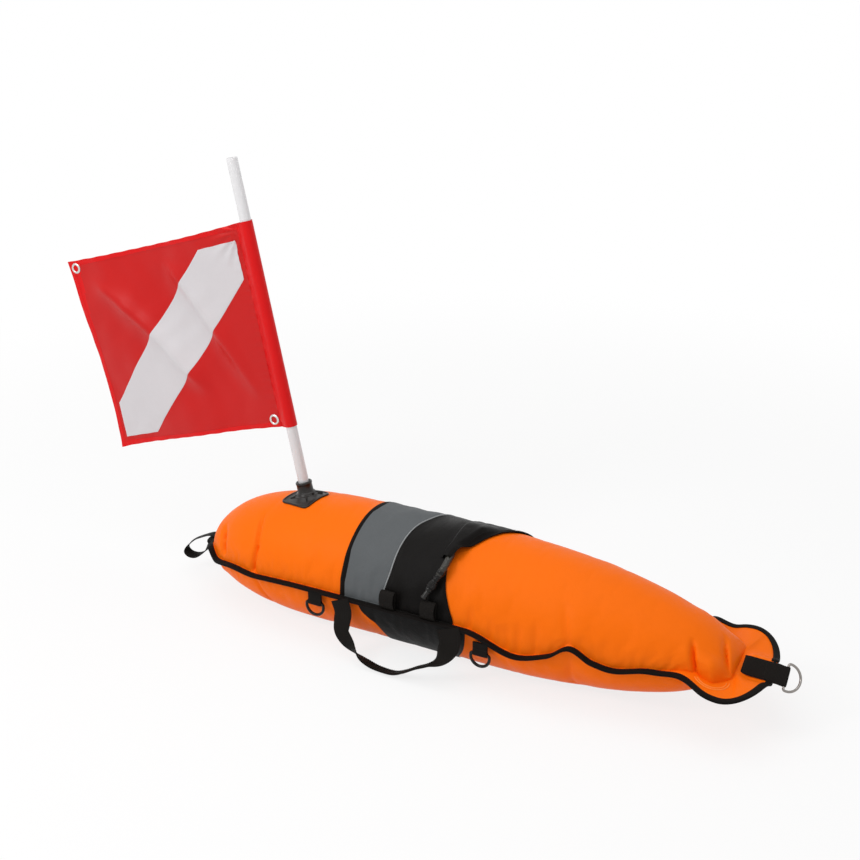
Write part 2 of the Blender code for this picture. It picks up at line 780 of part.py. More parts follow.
def make_socket():
    bore = MAST_RADIUS + SOCKET_BORE_EASE
    collar = bore + SOCKET_WALL
    lip = collar + SOCKET_LIP_OUT
    top = SOCKET_HEIGHT
    profile = [
        (SOCKET_FOOT_RADIUS, SOCKET_FOOT_TOP - 0.0012), (SOCKET_FOOT_RADIUS - 0.0010, SOCKET_FOOT_TOP),
        (SOCKET_STEP_RADIUS, SOCKET_FOOT_TOP), (SOCKET_STEP_RADIUS - 0.0008, SOCKET_STEP_TOP),
        (collar, SOCKET_STEP_TOP + 0.0006), (collar, top - SOCKET_LIP), (lip, top - SOCKET_LIP + 0.0012),
        (lip, top - 0.0014), (lip - 0.0014, top), (bore + 0.0010, top), (bore, top - 0.0012),
        (bore, SOCKET_FLOOR), (0, SOCKET_FLOOR),
    ]
    outline = rounded_square(SOCKET_PLATE / 2, SOCKET_CORNER, radians(SOCKET_YAW))
    seated_turning(
        "mast_socket", "black_rubber", mast_frame(), outline, SOCKET_PLATE_THICK, profile,
        SOCKET_SIDES, yaw=radians(SOCKET_YAW), rim=SOCKET_RIM, rim_width=SOCKET_RIM_WIDTH,
    )


def make_mast(parent):
    inner = MAST_RADIUS - MAST_WALL
    low = SOCKET_FLOOR + GAP
    high = low + MAST_LENGTH
    profile = [(inner, low), (MAST_RADIUS, low), (MAST_RADIUS, high), (inner, high)]
    points, faces = turned(profile, MAST_SIDES)
    add_mesh("flag_mast", points, faces, "clear_tube", parent=parent)


def grommet_places():
    """Middle of each grommet, as (reach along the fly, height along the hoist)."""
    return (
        (FLAG_FLY - GROMMET_INSET, FLAG_HOIST - GROMMET_INSET),
        (SLEEVE_SEWN + GROMMET_OUTER + 0.0025, GROMMET_INSET),
    )


def flag_fold(u, v):
    """Sideways swell of the cloth, level round the grommets and at the mast."""
    away = ramp(u, SLEEVE_SEWN, 0.16)
    wave = FLAG_FOLD * np.sin(2 * pi * (u / 0.30 - v / 0.55) + 0.6) * away
    slope = FLAG_HOIST / FLAG_FLY
    off_line = np.abs(v - slope * u) / sqrt(1 + slope**2)
    crease = FLAG_CREASE * np.exp(-((off_line / FLAG_CREASE_WIDTH) ** 2)) * away
    level = 1.0
    for gu, gv in grommet_places():
        level = level * ramp(np.hypot(u - gu, v - gv), 0.034, 0.110)
    return (wave - crease) * level


def cloth_rows():
    """Heights along the hoist, with the hems' edges."""
    step = 0.0008
    middle = list(np.linspace(HEM + step, FLAG_HOIST - HEM - step, FLAG_ROWS))
    return np.array([0.0, HEM - step] + middle + [FLAG_HOIST - HEM + step, FLAG_HOIST])


def cloth_columns():
    """Reaches along the fly past the sleeve, with the hem's edge."""
    step = 0.0008
    middle = list(np.linspace(SLEEVE_SEWN + 0.003, FLAG_FLY - HEM - step, FLAG_COLUMNS))
    return np.array(middle + [FLAG_FLY - HEM + step, FLAG_FLY])


def cloth_half_thickness(u, v):
    """Half the cloth's thickness: more where the hems are folded."""
    in_hem = (u > FLAG_FLY - HEM) | (v < HEM) | (v > FLAG_HOIST - HEM)
    return CLOTH / 2 + HEM_EXTRA * in_hem


def cloth_point(u, v, side):
    """A point of the flag in the mast's frame, side -1 or 1 being its two faces."""
    droop = radians(FLAG_DROOP)
    x = -u * cos(droop)
    z = FLAG_FOOT + v - u * sin(droop)
    plane = -(CLOTH / 2 + GAP)
    return np.stack([x, plane + flag_fold(u, v) + side, z], axis=-1)


def sleeve_path():
    """The cloth's line round the mast, from its sewn end to where the flag starts, seen along the mast."""
    middle = MAST_RADIUS + SLEEVE_EASE + CLOTH / 2
    apart = CLOTH / 2 + GAP
    wrap = np.radians(np.linspace(122, -122, 12))
    back = [(-SLEEVE_SEWN, apart), (-0.0145, 0.0038)]
    round_mast = [(middle * cos(a), middle * sin(a)) for a in wrap]
    front = [(-0.0145, -0.0038), (-SLEEVE_SEWN, -apart)]
    return np.array(back + round_mast + front)


def sheet_sides(line, half):
    """The two sides of a line in plan, each half a thickness off it."""
    ahead = np.gradient(line, axis=0)
    ahead /= np.linalg.norm(ahead, axis=1, keepdims=True)
    normal = np.stack([ahead[:, 1], -ahead[:, 0]], axis=-1)
    return line + normal * half, line - normal * half


def make_flag(parent):
    rows, columns = cloth_rows(), cloth_columns()
    path = sleeve_path()
    inner, outer = sheet_sides(path, CLOTH / 2)
    faces_of_cloth = []
    for wrap, side in ((outer, -1), (inner, 1)):
        sleeve = np.zeros((len(rows), len(path), 3))
        sleeve[:, :, 0] = wrap[None, :, 0]
        sleeve[:, :, 1] = wrap[None, :, 1]
        reach = np.clip(-wrap[None, :, 0], 0, None)
        sleeve[:, :, 2] = FLAG_FOOT + rows[:, None] - reach * sin(radians(FLAG_DROOP))
        u, v = np.meshgrid(columns, rows)
        sheet = cloth_point(u, v, side * cloth_half_thickness(u, v))
        faces_of_cloth.append(np.concatenate([sleeve, sheet], axis=1))
    points, faces = wall_between(*faces_of_cloth, halved=True)
    cloth = add_mesh("flag_cloth", points, faces, "red_cloth", parent=parent)
    for number, (u, v) in enumerate(grommet_places()):
        place = cloth_point(np.array(u), np.array(v), 0.0)
        make_grommet(f"flag_grommet_{number + 1}", place, parent)
        radius = GROMMET_HOLE + GROMMET_WALL + GAP
        points, faces = turned([(0, -0.006), (radius, -0.006), (radius, 0.006), (0, 0.006)], GROMMET_SIDES)
        cutter = add_mesh(f"grommet_cutter_{number + 1}", points, faces, "steel")
        cutter.matrix_world = Matrix.Translation(place) @ Matrix.Rotation(pi / 2, 4, "X")
        cutter.parent = parent
        cut(cloth, cutter)
    make_stripe("flag_stripe_near", parent, -1)
    make_stripe("flag_stripe_far", parent, 1)


def make_grommet(name, place, parent):
    """A rolled eyelet: a barrel through the cloth with a curled flange on each face."""
    half = CLOTH / 2 + HEM_EXTRA + GAP
    barrel = GROMMET_HOLE + GROMMET_WALL
    outer = GROMMET_OUTER
    lip, roll, mid = GROMMET_HOLE + 0.0005, half + GROMMET_WALL, (barrel + outer) / 2
    top = half + 0.0011
    profile = [
        (GROMMET_HOLE, -half), (lip, -roll), (mid, -top), (outer, -half), (barrel, -half),
        (barrel, half), (outer, half), (mid, top), (lip, roll), (GROMMET_HOLE, half),
    ]
    points, faces = turned(profile, GROMMET_SIDES)
    made = add_mesh(name, points, faces, "steel")
    made.matrix_world = Matrix.Translation(place) @ Matrix.Rotation(pi / 2, 4, "X")
    made.parent = parent


def make_stripe(name, parent, side):
    """The white diagonal on one face: the cloth's own surface, bisected to its outline and thickened."""
    u, v = np.meshgrid(cloth_columns()[:-1], cloth_rows()[1:-1])
    lift = side * (CLOTH / 2 + SEWN_GAP)
    surface = cloth_point(u, v, lift)
    form = bmesh.new()
    corners = [form.verts.new(p) for p in surface.reshape(-1, 3)]
    for face in halves(grid_faces(*surface.shape[:2])):
        form.faces.new([corners[i] for i in face])
    top = FLAG_HOIST - STRIPE_TOP_INSET
    fly = FLAG_FLY - STRIPE_FLY_INSET
    outline = [
        (STRIPE_HOIST_INSET, top), (STRIPE_HOIST_INSET + STRIPE_END_LONG, top),
        (fly, STRIPE_BOTTOM_INSET + STRIPE_END_SHORT), (fly, STRIPE_BOTTOM_INSET),
        (fly - STRIPE_END_LONG, STRIPE_BOTTOM_INSET), (STRIPE_HOIST_INSET, top - STRIPE_END_SHORT),
    ]
    flat = [Vector(cloth_point(np.array(a), np.array(b), 0.0)) * Vector((1, 0, 1)) for a, b in outline]
    middle = sum(flat, Vector()) / len(flat)
    for start, end in zip(flat, flat[1:] + flat[:1]):
        normal = (end - start).cross(Vector((0, 1, 0)))
        if normal.dot(start - middle) < 0:
            normal.negate()
        whole = form.verts[:] + form.edges[:] + form.faces[:]
        bmesh.ops.bisect_plane(
            form, geom=whole, plane_co=start, plane_no=normal, clear_outer=True, dist=1e-7
        )
    sheet = form.faces[:]
    grown = bmesh.ops.extrude_face_region(form, geom=sheet, use_keep_orig=True)["geom"]
    raised = [item for item in grown if isinstance(item, bmesh.types.BMVert)]
    bmesh.ops.translate(form, verts=raised, vec=(0, side * STRIPE, 0))
    bmesh.ops.remove_doubles(form, verts=form.verts, dist=1e-7)
    bmesh.ops.recalc_face_normals(form, faces=form.faces)
    mesh = bpy.data.meshes.new(name)
    form.to_mesh(mesh)
    form.free()
    mesh.shade_smooth()
    mesh.set_sharp_from_angle(angle=radians(40))
    add_object(name, mesh, "white_cloth", parent)


def ribbon(line, width_ways, width, thick, squared=True):
    """Sections of flat webbing along a line of points, its width along the given directions.

    squared turns each width square to the line; without it the given directions are kept.
    """
    line = np.array(line, float)
    ahead = np.gradient(line, axis=0)
    ahead /= np.linalg.norm(ahead, axis=1, keepdims=True)
    across = np.array(width_ways, float)
    if squared:
        across = across - ahead * (across * ahead).sum(axis=1, keepdims=True)
    across /= np.linalg.norm(across, axis=1, keepdims=True)
    flat = np.cross(ahead, across)
    flat /= np.linalg.norm(flat, axis=1, keepdims=True)
    corners = ((-0.5, -0.5), (0.5, -0.5), (0.5, 0.5), (-0.5, 0.5))
    return np.stack([line + across * width * a + flat * thick * b for a, b in corners], axis=1)


def smooth_line(points, count):
    """A Catmull-Rom line of count points through the given ones."""
    points = np.array(points, float)
    padded = np.concatenate([[2 * points[0] - points[1]], points, [2 * points[-1] - points[-2]]])
    at = np.linspace(0, len(points) - 1, count)
    i = np.minimum(at.astype(int), len(points) - 2)
    u = (at - i)[:, None]
    a, b, c, d = padded[i], padded[i + 1], padded[i + 2], padded[i + 3]
    return 0.5 * (2 * b + (c - a) * u + (2 * a - 5 * b + 4 * c - d) * u**2 + (3 * b - a - 3 * c + d) * u**3)


def wrapped_tab(centre, leave, wire, length, layers_apart):
    """A webbing line round a bar: from its sewn end along leave, round the bar and back.

    centre and leave are in a plane given as 2-D points; leave points from the
    bar to the sewn end.
    """
    radius = wire + GAP + WEBBING_THICK / 2
    leave = np.array(leave, float) / np.linalg.norm(leave)
    side = np.array([-leave[1], leave[0]])
    centre = np.array(centre, float)
    legs = layers_apart / 2
    neck = radius * 1.75
    turns = np.radians(np.linspace(62, 298, 11))
    wrap = [centre + radius * (leave * cos(a) + side * sin(a)) for a in turns]
    start = [centre + leave * length + side * legs, centre + leave * neck + side * legs]
    end = [centre + leave * neck - side * legs, centre + leave * length - side * legs]
    return start + wrap + end


def d_ring_line(half, arm, corner, steps=11):
    """A D: a straight bar through the origin along the first axis, arms and a half round, in its plane."""
    bar = [(-half + corner, 0.0), (half - corner, 0.0)]
    turn = [(half - corner + corner * sin(a), corner - corner * cos(a)) for a in (pi / 4, pi / 2)]
    bow = [(half * cos(a), arm + half * sin(a)) for a in np.linspace(0.12, pi - 0.12, steps)]
    back = [(-x, y) for x, y in turn[::-1]]
    return bar + turn + bow + back


def make_ring(name, finish, half, arm, wire, frame, parent):
    """A D-ring as a round wire along its closed line; the frame's X is the bar, its -Z the way it hangs."""
    curve = bpy.data.curves.new(name, "CURVE")
    curve.dimensions = "3D"
    curve.bevel_depth = wire
    curve.bevel_resolution = RING_SIDES // 4
    spline = curve.splines.new("POLY")
    line = d_ring_line(half, arm, wire * 1.5)
    spline.points.add(len(line) - 1)
    for point, (a, b) in zip(spline.points, line):
        point.co = (a, 0.0, -b, 1.0)
    spline.use_cyclic_u = True
    made = add_object(name, curve, finish)
    made.matrix_world = frame
    made.parent = parent
    made.matrix_parent_inverse = parent.matrix_world.inverted()


def side_bar_place(x, side):
    """Middle of a side ring's bar."""
    y = side * (float(chamber_half_width(x)) + TAB_STAND_OFF)
    return Vector((x, y, binding_underside(x) - TAB_DROP))


def binding_underside(x):
    """Height just under the seam tape, where it is lowest over a webbing's width."""
    places = x + np.linspace(-0.55, 0.55, 9) * WEBBING
    levels = np.interp(places, stations(), seam_height(stations()) + seam_wave(stations()))
    return float(levels.min()) - flange_stack() - GAP


def make_side_ring(name, x, side):
    """A folded webbing tab sewn under the flange, with its D-ring."""
    place = side_bar_place(x, side)
    apart = WEBBING_THICK + GAP
    line = wrapped_tab((place.y, place.z), (0, 1), SIDE_RING_WIRE, TAB_DROP, apart)
    path = np.array([(x, y, z) for y, z in line])
    sections = ribbon(path, [(1, 0, 0)] * len(path), WEBBING, WEBBING_THICK)
    points, faces = strap_faces(sections)
    add_mesh(f"{name}_tab", points, faces, "black_webbing")
    hinge = pivot(f"{name}_hinge", place)
    frame = Matrix.Translation(place)
    make_ring(f"{name}_ring", "black_plastic", SIDE_RING_HALF, SIDE_RING_ARM, SIDE_RING_WIRE, frame, hinge)


def make_side_rings():
    for side_name, side in (("near", -1), ("far", 1)):
        for end_name, x in (("stern", SIDE_RING_STERN_X), ("bow", SIDE_RING_BOW_X)):
            make_side_ring(f"{side_name}_{end_name}", x, side)


def flange_stack():
    """Half the height of the flange with its tape on it."""
    return GAP / 2 + COVER + GAP + TAPE


def make_bow_strap():
    """A strap over and under the bow flange, twisted past its tip and folded round the steel ring's bar."""
    bar_x = BOW_TIP + BOW_STRAP_REACH
    level = float(seam_height(np.array(BOW_TIP)))
    half_gap = flange_stack() + GAP + WEBBING_THICK / 2
    radius = BOW_RING_WIRE + GAP + WEBBING_THICK / 2
    clear = BOW_TIP + 0.0035
    shares = (0.35, 0.70, 1.0)
    neck = [clear + share * (bar_x - radius * 0.9 - clear) for share in shares]
    narrow = [half_gap + share * (radius * 0.72 - half_gap) for share in shares]
    flat = [(x, half_gap) for x in np.linspace(BOW_STRAP_INNER, BOW_TIP - 0.006, 4)]
    top = flat + [(clear, half_gap)] + list(zip(neck, narrow))
    turns = np.radians(np.linspace(115, -115, 10))
    wrap = [(bar_x + radius * cos(a), radius * sin(a)) for a in turns]
    bottom = [(x, -height) for x, height in top[::-1]]
    path, ways = [], []
    for x, height in top + wrap + bottom:
        on_flange = np.array(min(x, BOW_TIP))
        past = float(ramp(x, clear, bar_x - radius))
        lean = float((seam_wave(on_flange, 1.0) - seam_wave(on_flange)) / (2 * root_half(on_flange)))
        angle = lean * (1 - past) + radians(BOW_STRAP_TWIST) * past
        rise = float(seam_wave(on_flange, 0.0) + seam_height(on_flange)) - level - BOW_STRAP_DROP * past
        roll = Matrix.Rotation(angle, 3, "X")
        path.append(tuple(Vector((x, 0, level + rise)) + roll @ Vector((0, 0, height))))
        ways.append(tuple(roll @ Vector((0, 1, 0))))
    points, faces = strap_faces(ribbon(path, ways, BOW_STRAP, WEBBING_THICK, squared=False))
    add_mesh("bow_strap", points, faces, "black_webbing")
    place = Vector((bar_x, 0.0, level + float(seam_wave(np.array(BOW_TIP), 0.0)) - BOW_STRAP_DROP))
    hinge = pivot("bow_ring_hinge", place)
    rolled = Matrix.Translation(place) @ Matrix.Rotation(radians(BOW_STRAP_TWIST), 4, "X")
    hang = rolled @ Matrix.Rotation(pi / 2, 4, "Z") @ Matrix.Rotation(radians(BOW_RING_OUT), 4, "X")
    make_ring("bow_ring", "steel", BOW_RING_HALF, BOW_RING_ARM, BOW_RING_WIRE, hang, hinge)


def make_stern_loop():
    """A webbing loop sewn over and under the stern tab, its end drooping and slightly twisted."""
    tip = STERN_TIP
    z = float(seam_height(tip) + seam_wave(np.array(tip)))
    half_gap = flange_stack() + GAP + WEBBING_THICK / 2
    line = [(STERN_LOOP_INNER, z + half_gap), (tip + 0.0090, z + half_gap), (tip - 0.0035, z + half_gap)]
    line += [(tip - 0.0220, z + 0.0010), (tip - 0.0400, z - 0.0080), (tip - 0.0530, z - 0.0180)]
    line += [(tip - 0.0560, z - 0.0260), (tip - 0.0480, z - 0.0300), (tip - 0.0320, z - 0.0260)]
    line += [(tip - 0.0160, z - 0.0140), (tip - 0.0035, z - half_gap - 0.0010)]
    line += [(tip + 0.0090, z - half_gap), (STERN_LOOP_INNER, z - half_gap)]
    path = smooth_line([(x, 0.0, height) for x, height in line], 34)
    share = np.linspace(0, 1, len(path))
    twist = 0.55 * ramp(share, 0.25, 0.50) * (1 - ramp(share, 0.55, 0.80))
    ways = np.stack([0.35 * twist, np.ones_like(twist), twist], axis=-1)
    points, faces = strap_faces(ribbon(path, ways, STERN_STRAP, WEBBING_THICK))
    add_mesh("stern_loop", points, faces, "black_webbing")


def handle_ends():
    """Middle of each sewn end of the handle, against the edge of the seam tape."""
    ends = []
    for x in (HANDLE_STERN_X, HANDLE_BOW_X):
        y = -(float(flange_half(np.array(x))) + GAP + TAPE + GAP + HANDLE_THICK / 2)
        ends.append(Vector((x, y, float(seam_height(x)))))
    return ends


def make_handle():
    """The carry strap, hanging beside the float and resting its middle just off the floor."""
    stern, bow = handle_ends()
    hinge = pivot("handle_hinge", stern)
    low = 0.0022
    out = stern.y - 0.0150
    line = [
        stern, stern + Vector((0.000, 0, -0.020)), (stern.x + 0.006, stern.y - 0.003, 0.060),
        (stern.x + 0.014, stern.y - 0.007, 0.043), (stern.x + 0.042, stern.y - 0.011, 0.0145),
        (stern.x + 0.066, out, low + 0.0040), (stern.x + 0.094, out - 0.001, low),
        (stern.x + 0.120, out, low + 0.0045), (bow.x - 0.040, bow.y - 0.012, 0.021),
        (bow.x - 0.013, bow.y - 0.007, 0.0400), (bow.x - 0.002, bow.y - 0.003, 0.060),
        bow + Vector((0.001, 0, -0.022)), bow,
    ]
    path = smooth_line([tuple(p) for p in line], 34)
    share = np.linspace(0, 1, len(path))
    lie = ramp(share, 0.13, 0.36) * (1 - ramp(share, 0.66, 0.86))
    ways = np.stack([1 - lie, -lie, 0.25 * lie], axis=-1)
    sections = ribbon(path, ways, WEBBING, HANDLE_THICK)
    sections[:, :, 2] = np.maximum(sections[:, :, 2], 0.0012)
    points, faces = strap_faces(sections)
    made = add_mesh("carry_handle", points, faces, "black_webbing")
    made.parent = hinge
    made.matrix_parent_inverse = hinge.matrix_world.inverted()


def make_standing_loop(name, x, under):
    """A webbing loop standing just above the seam, clear of what lies under it."""
    half = float(chamber_half_width(x))
    foot = float(seam_height(x)) + flange_stack() + GAP + WEBBING_THICK
    back = -(half + SEWN_GAP + under + GAP + WEBBING_THICK / 2)
    front = back - LOOP_DEPTH
    top = foot + LOOP_HEIGHT
    line = [
        (back - 0.0012, foot), (back - 0.0002, foot + 0.010), (back + 0.0012, foot + 0.020),
        (back + 0.0022, top - 0.004), (back + 0.0012, top - 0.0008), (back - 0.0022, top + 0.0006),
        (front + 0.0022, top - 0.0030), (front, top - 0.0090), (front - 0.0004, foot + 0.013),
        (front + 0.0022, foot + 0.0042), (back - 0.0042, foot),
    ]
    path = np.array([(x, y, z) for y, z in line])
    sections = ribbon(smooth_line(path, 19), [(1, 0, 0)] * 19, WEBBING, WEBBING_THICK)
    points, faces = strap_faces(sections)
    add_mesh(name, points, faces, "black_webbing")


def hose_place(x, degrees, lift):
    return Vector(over_chamber(np.array(x), np.array(radians(degrees)), lift))


def valve_frame():
    """The valve's axis: origin where the hose ends, Z towards the mouthpiece's lip."""
    start = hose_place(VALVE_HOSE_X, VALVE_HOSE_ANGLE, VALVE_LIFT)
    end = hose_place(VALVE_LIP_X, VALVE_LIP_ANGLE, VALVE_LIFT)
    along = (end - start).normalized()
    side = along.cross(Vector((1, 0, 0))).normalized()
    frame = Matrix((side.cross(along).normalized(), side, along)).transposed().to_4x4()
    frame.translation = start
    return frame


def hose_line():
    """Centre line of the hose: from its ball root, a bend that ends straight on the valve's axis."""
    root = np.array(hose_place(HOSE_ROOT_X, HOSE_ROOT_ANGLE, HOSE_LIFT))
    frame = valve_frame()
    along = np.array(frame.to_3x3() @ Vector((0, 0, 1)))
    end = np.array(frame.translation) - along * GAP
    bend_end = end - along * HOSE_STRAIGHT
    leave = np.array(hose_place(HOSE_ROOT_X - 0.004, HOSE_ROOT_ANGLE - 12.0, HOSE_LIFT)) - root
    leave /= np.linalg.norm(leave)
    pull = np.linalg.norm(bend_end - root)
    t = np.linspace(0, 1, 7)[:, None]
    bend = root * (2 * t**3 - 3 * t**2 + 1) + leave * pull * (t**3 - 2 * t**2 + t)
    bend = bend + bend_end * (3 * t**2 - 2 * t**3) + along * pull * (t**3 - t**2)
    return np.concatenate([bend, [bend_end + (end - bend_end) / 2, end]])


def make_port():
    """The welded port: a flange on the cover, a low dome and a spigot to the hose."""
    frame = port_frame()
    sides = 20
    root = hose_place(HOSE_ROOT_X, HOSE_ROOT_ANGLE, HOSE_LIFT)
    directions = [2 * pi * k / sides for k in range(sides)]
    rings = []

    def on_cover(radius, lift):
        ring = []
        for d in directions:
            x = PORT_X + radius * cos(d)
            angle = radians(PORT_ANGLE) + radius * sin(d) / CROWN
            ring.append(Vector(over_chamber(np.array(x), np.array(angle), lift)))
        return ring

    rings.append([Vector(over_chamber(np.array(PORT_X), np.array(radians(PORT_ANGLE)), GAP))])
    rings.append(on_cover(PORT_FLANGE, GAP))
    rings.append(on_cover(PORT_FLANGE, GAP + PORT_FLANGE_THICK))
    rings.append(on_cover(PORT_DOME, GAP + PORT_FLANGE_THICK))
    for share in (0.45, 0.75, 0.93):
        radius = PORT_DOME * sqrt(1 - share**2.6)
        level = PORT_DOME_HEIGHT * share
        rings.append([frame @ Vector((radius * cos(d), radius * sin(d), level)) for d in directions])
    rings.append([frame @ Vector((0, 0, PORT_DOME_HEIGHT))])
    points, index = [], []
    for ring in rings:
        index.append(range(len(points), len(points) + len(ring)))
        points += [tuple(p) for p in ring]
    faces = []
    for low, high in zip(index, index[1:]):
        for k in range(sides):
            n = (k + 1) % sides
            if len(low) == 1:
                faces.append((low[0], high[n], high[k]))
            elif len(high) == 1:
                faces.append((low[k], low[n], high[0]))
            else:
                faces.append((low[k], low[n], high[n], high[k]))
    port = add_mesh("inflator_port", points, faces, "black_rubber")
    start = frame @ Vector((0, 0, PORT_DOME_HEIGHT * 0.52))
    reach = (root - start).length - HOSE_RADIUS - GAP
    radius = SPIGOT_RADIUS
    spigot_points, spigot_faces = turned([(0, 0.0), (radius, 0.0), (radius, reach), (0, reach)], 16)
    spigot = add_mesh("spigot_guide", spigot_points, spigot_faces, "black_rubber")
    towards_root = (root - start).to_track_quat("Z", "Y").to_matrix().to_4x4()
    spigot.matrix_world = Matrix.Translation(start) @ towards_root
    join = port.modifiers.new("spigot", "BOOLEAN")
    join.operation = "UNION"
    join.solver = "EXACT"
    join.object = spigot
    spigot.hide_render = True
    spigot.display_type = "WIRE"
    spigot.hide_set(True)


def make_hose(parent):
    """A rubber hose with a ball root, bored from the valve's end."""
    line = hose_line()
    sides = 12
    ahead = np.gradient(line, axis=0)
    ahead /= np.linalg.norm(ahead, axis=1, keepdims=True)
    side_way = np.cross(ahead, (1.0, 0, 0))
    side_way /= np.linalg.norm(side_way, axis=1, keepdims=True)
    third = np.cross(ahead, side_way)
    rings = []
    ball = [(0.30, -0.954), (0.60, -0.80), (0.85, -0.527)]
    for share, back in ball:
        rings.append((line[0] + ahead[0] * HOSE_RADIUS * back, 0, HOSE_RADIUS * share))
    rings += [(line[k], k, HOSE_RADIUS) for k in range(len(line))]
    rings += [(line[k], k, HOSE_BORE) for k in range(len(line) - 1, 1, -1)]
    points = [tuple(line[0] - ahead[0] * HOSE_RADIUS)]
    for centre, k, radius in rings:
        for step in range(sides):
            a = 2 * pi * step / sides
            points.append(tuple(centre + side_way[k] * radius * cos(a) + third[k] * radius * sin(a)))
    points.append(tuple(line[2]))
    last = len(points) - 1
    faces = [(0, 1 + (k + 1) % sides, 1 + k) for k in range(sides)]
    for r in range(len(rings) - 1):
        low, high = 1 + r * sides, 1 + (r + 1) * sides
        faces += [(low + k, low + (k + 1) % sides, high + (k + 1) % sides, high + k) for k in range(sides)]
    low = 1 + (len(rings) - 1) * sides
    faces += [(low + k, low + (k + 1) % sides, last) for k in range(sides)]
    made = add_mesh("inflator_hose", points, faces, "grey_hose")
    made.parent = parent
    made.matrix_parent_inverse = parent.matrix_world.inverted()


def ribbed_ring(inner, outer, rib, ribs, low, high):
    """Points and faces of a grip ring with square-cut ribs round it."""
    sides = ribs * 4
    points, faces = [], []
    for height, radius_of in ((low, None), (low + 0.0008, rib), (high - 0.0008, rib), (high, None)):
        for k in range(sides):
            raised = outer if (radius_of is None or k % 4 in (0, 3)) else outer + radius_of
            a = 2 * pi * (k - 0.5 * (k % 2)) / sides
            points.append((raised * cos(a), raised * sin(a), height))
    for height in (high, low):
        for k in range(sides):
            a = 2 * pi * (k - 0.5 * (k % 2)) / sides
            points.append((inner * cos(a), inner * sin(a), height))
    faces = grid_faces(6, sides, 0, True, True)
    return points, faces


def make_valve(lift_hinge):
    """Valve body, lock ring, sliding mouthpiece, stem with poppet, seal and spring on one axis."""
    frame = valve_frame()
    keep = lift_hinge.matrix_world.inverted()

    def add_on_axis(name, points, faces, finish, parent=lift_hinge, inverse=keep):
        made = add_mesh(name, points, faces, finish)
        made.matrix_world = frame
        made.parent = parent
        made.matrix_parent_inverse = inverse
        return made

    inner_clamp = HOSE_RADIUS + GAP
    outer_clamp = inner_clamp + CLAMP_WALL
    clamp = [
        (inner_clamp, -0.0085), (outer_clamp, -0.0080),
        (outer_clamp, -0.0080 + CLAMP_LENGTH), (inner_clamp, -0.0075 + CLAMP_LENGTH),
    ]
    add_on_axis("hose_clamp", *turned(clamp, 20), "black_plastic")

    seat_end = SEAT_START + SEAT_THICK
    groove = VALVE_RADIUS - 0.0012
    ring_low = LOCK_RING_START
    ring_high = LOCK_RING_START + LOCK_RING_LENGTH
    mouth_bore = MOUTHPIECE_RADIUS + GAP
    body = [
        (VALVE_BORE, 0.0), (VALVE_RADIUS, 0.0), (VALVE_RADIUS, 0.0030), (groove, 0.0034),
        (groove, 0.0052), (VALVE_RADIUS, 0.0056), (VALVE_RADIUS, 0.0084), (groove, 0.0088),
        (groove, 0.0104), (VALVE_RADIUS, 0.0108), (VALVE_RADIUS, ring_low - GAP), (groove, ring_low - GAP),
        (groove, ring_high + GAP), (VALVE_RADIUS, ring_high + GAP), (VALVE_RADIUS, VALVE_LENGTH - 0.0008),
        (VALVE_RADIUS - 0.0008, VALVE_LENGTH), (mouth_bore, VALVE_LENGTH), (mouth_bore, seat_end),
        (VALVE_NECK_BORE, seat_end), (VALVE_NECK_BORE, SEAT_START), (VALVE_BORE, SEAT_START),
    ]
    add_on_axis("valve_body", *turned(body, 20), "black_plastic")

    ring_hinge = pivot("lock_ring_axis", frame.translation, frame)
    rib = 0.0006
    grip = LOCK_RING_RADIUS - rib
    points, faces = ribbed_ring(groove + GAP, grip, rib, LOCK_RING_RIBS, ring_low, ring_high)
    add_on_axis("lock_ring", points, faces, "black_plastic", ring_hinge, ring_hinge.matrix_world.inverted())

    slide = pivot("mouthpiece_slide", frame.translation, frame)
    inverse = slide.matrix_world.inverted()
    start = MOUTHPIECE_START
    end = (hose_place(VALVE_LIP_X, VALVE_LIP_ANGLE, VALVE_LIFT) - frame.translation).length
    mouth = [
        (MOUTHPIECE_BORE, start), (MOUTHPIECE_RADIUS, start), (MOUTHPIECE_RADIUS, end - 0.0036),
        (MOUTHPIECE_LIP, end - 0.0018), (MOUTHPIECE_LIP, end - 0.0006), (MOUTHPIECE_LIP - 0.0008, end),
        (MOUTHPIECE_BORE + 0.0012, end), (MOUTHPIECE_BORE, end - 0.0016),
    ]
    add_on_axis("mouthpiece", *turned(mouth, 20), "grey_hose", slide, inverse)

    seal_top = SEAT_START - GAP
    seal_ring = VALVE_NECK_BORE + 2 * SEAL_WIRE
    poppet_top = seal_top - 2 * SEAL_WIRE - GAP
    poppet_low = poppet_top - POPPET_THICK
    head = start - GAP
    stem_head = MOUTHPIECE_RADIUS - 0.0003
    stem = [
        (0, poppet_low), (POPPET_RADIUS, poppet_low), (POPPET_RADIUS, poppet_top),
        (STEM_RADIUS, poppet_top), (STEM_RADIUS, head - 0.0010), (stem_head, head - 0.0010),
        (stem_head, head), (0, head),
    ]
    add_on_axis("valve_stem", *turned(stem, 16), "black_plastic", slide, inverse)
    seal = torus(seal_ring, SEAL_WIRE, seal_top - SEAL_WIRE, 16, 6)
    add_on_axis("valve_seal", *seal, "black_rubber", slide, inverse)

    low = seat_end + GAP + SPRING_WIRE
    high = head - 0.0010 - GAP - SPRING_WIRE
    make_spring("valve_spring", frame, low, high, lift_hinge, keep)


def torus(ring, wire, height, steps, sides):
    turns = [2 * pi * k / sides for k in range(sides)]
    return turned([(ring + wire * cos(a), height + wire * sin(a)) for a in turns], steps)


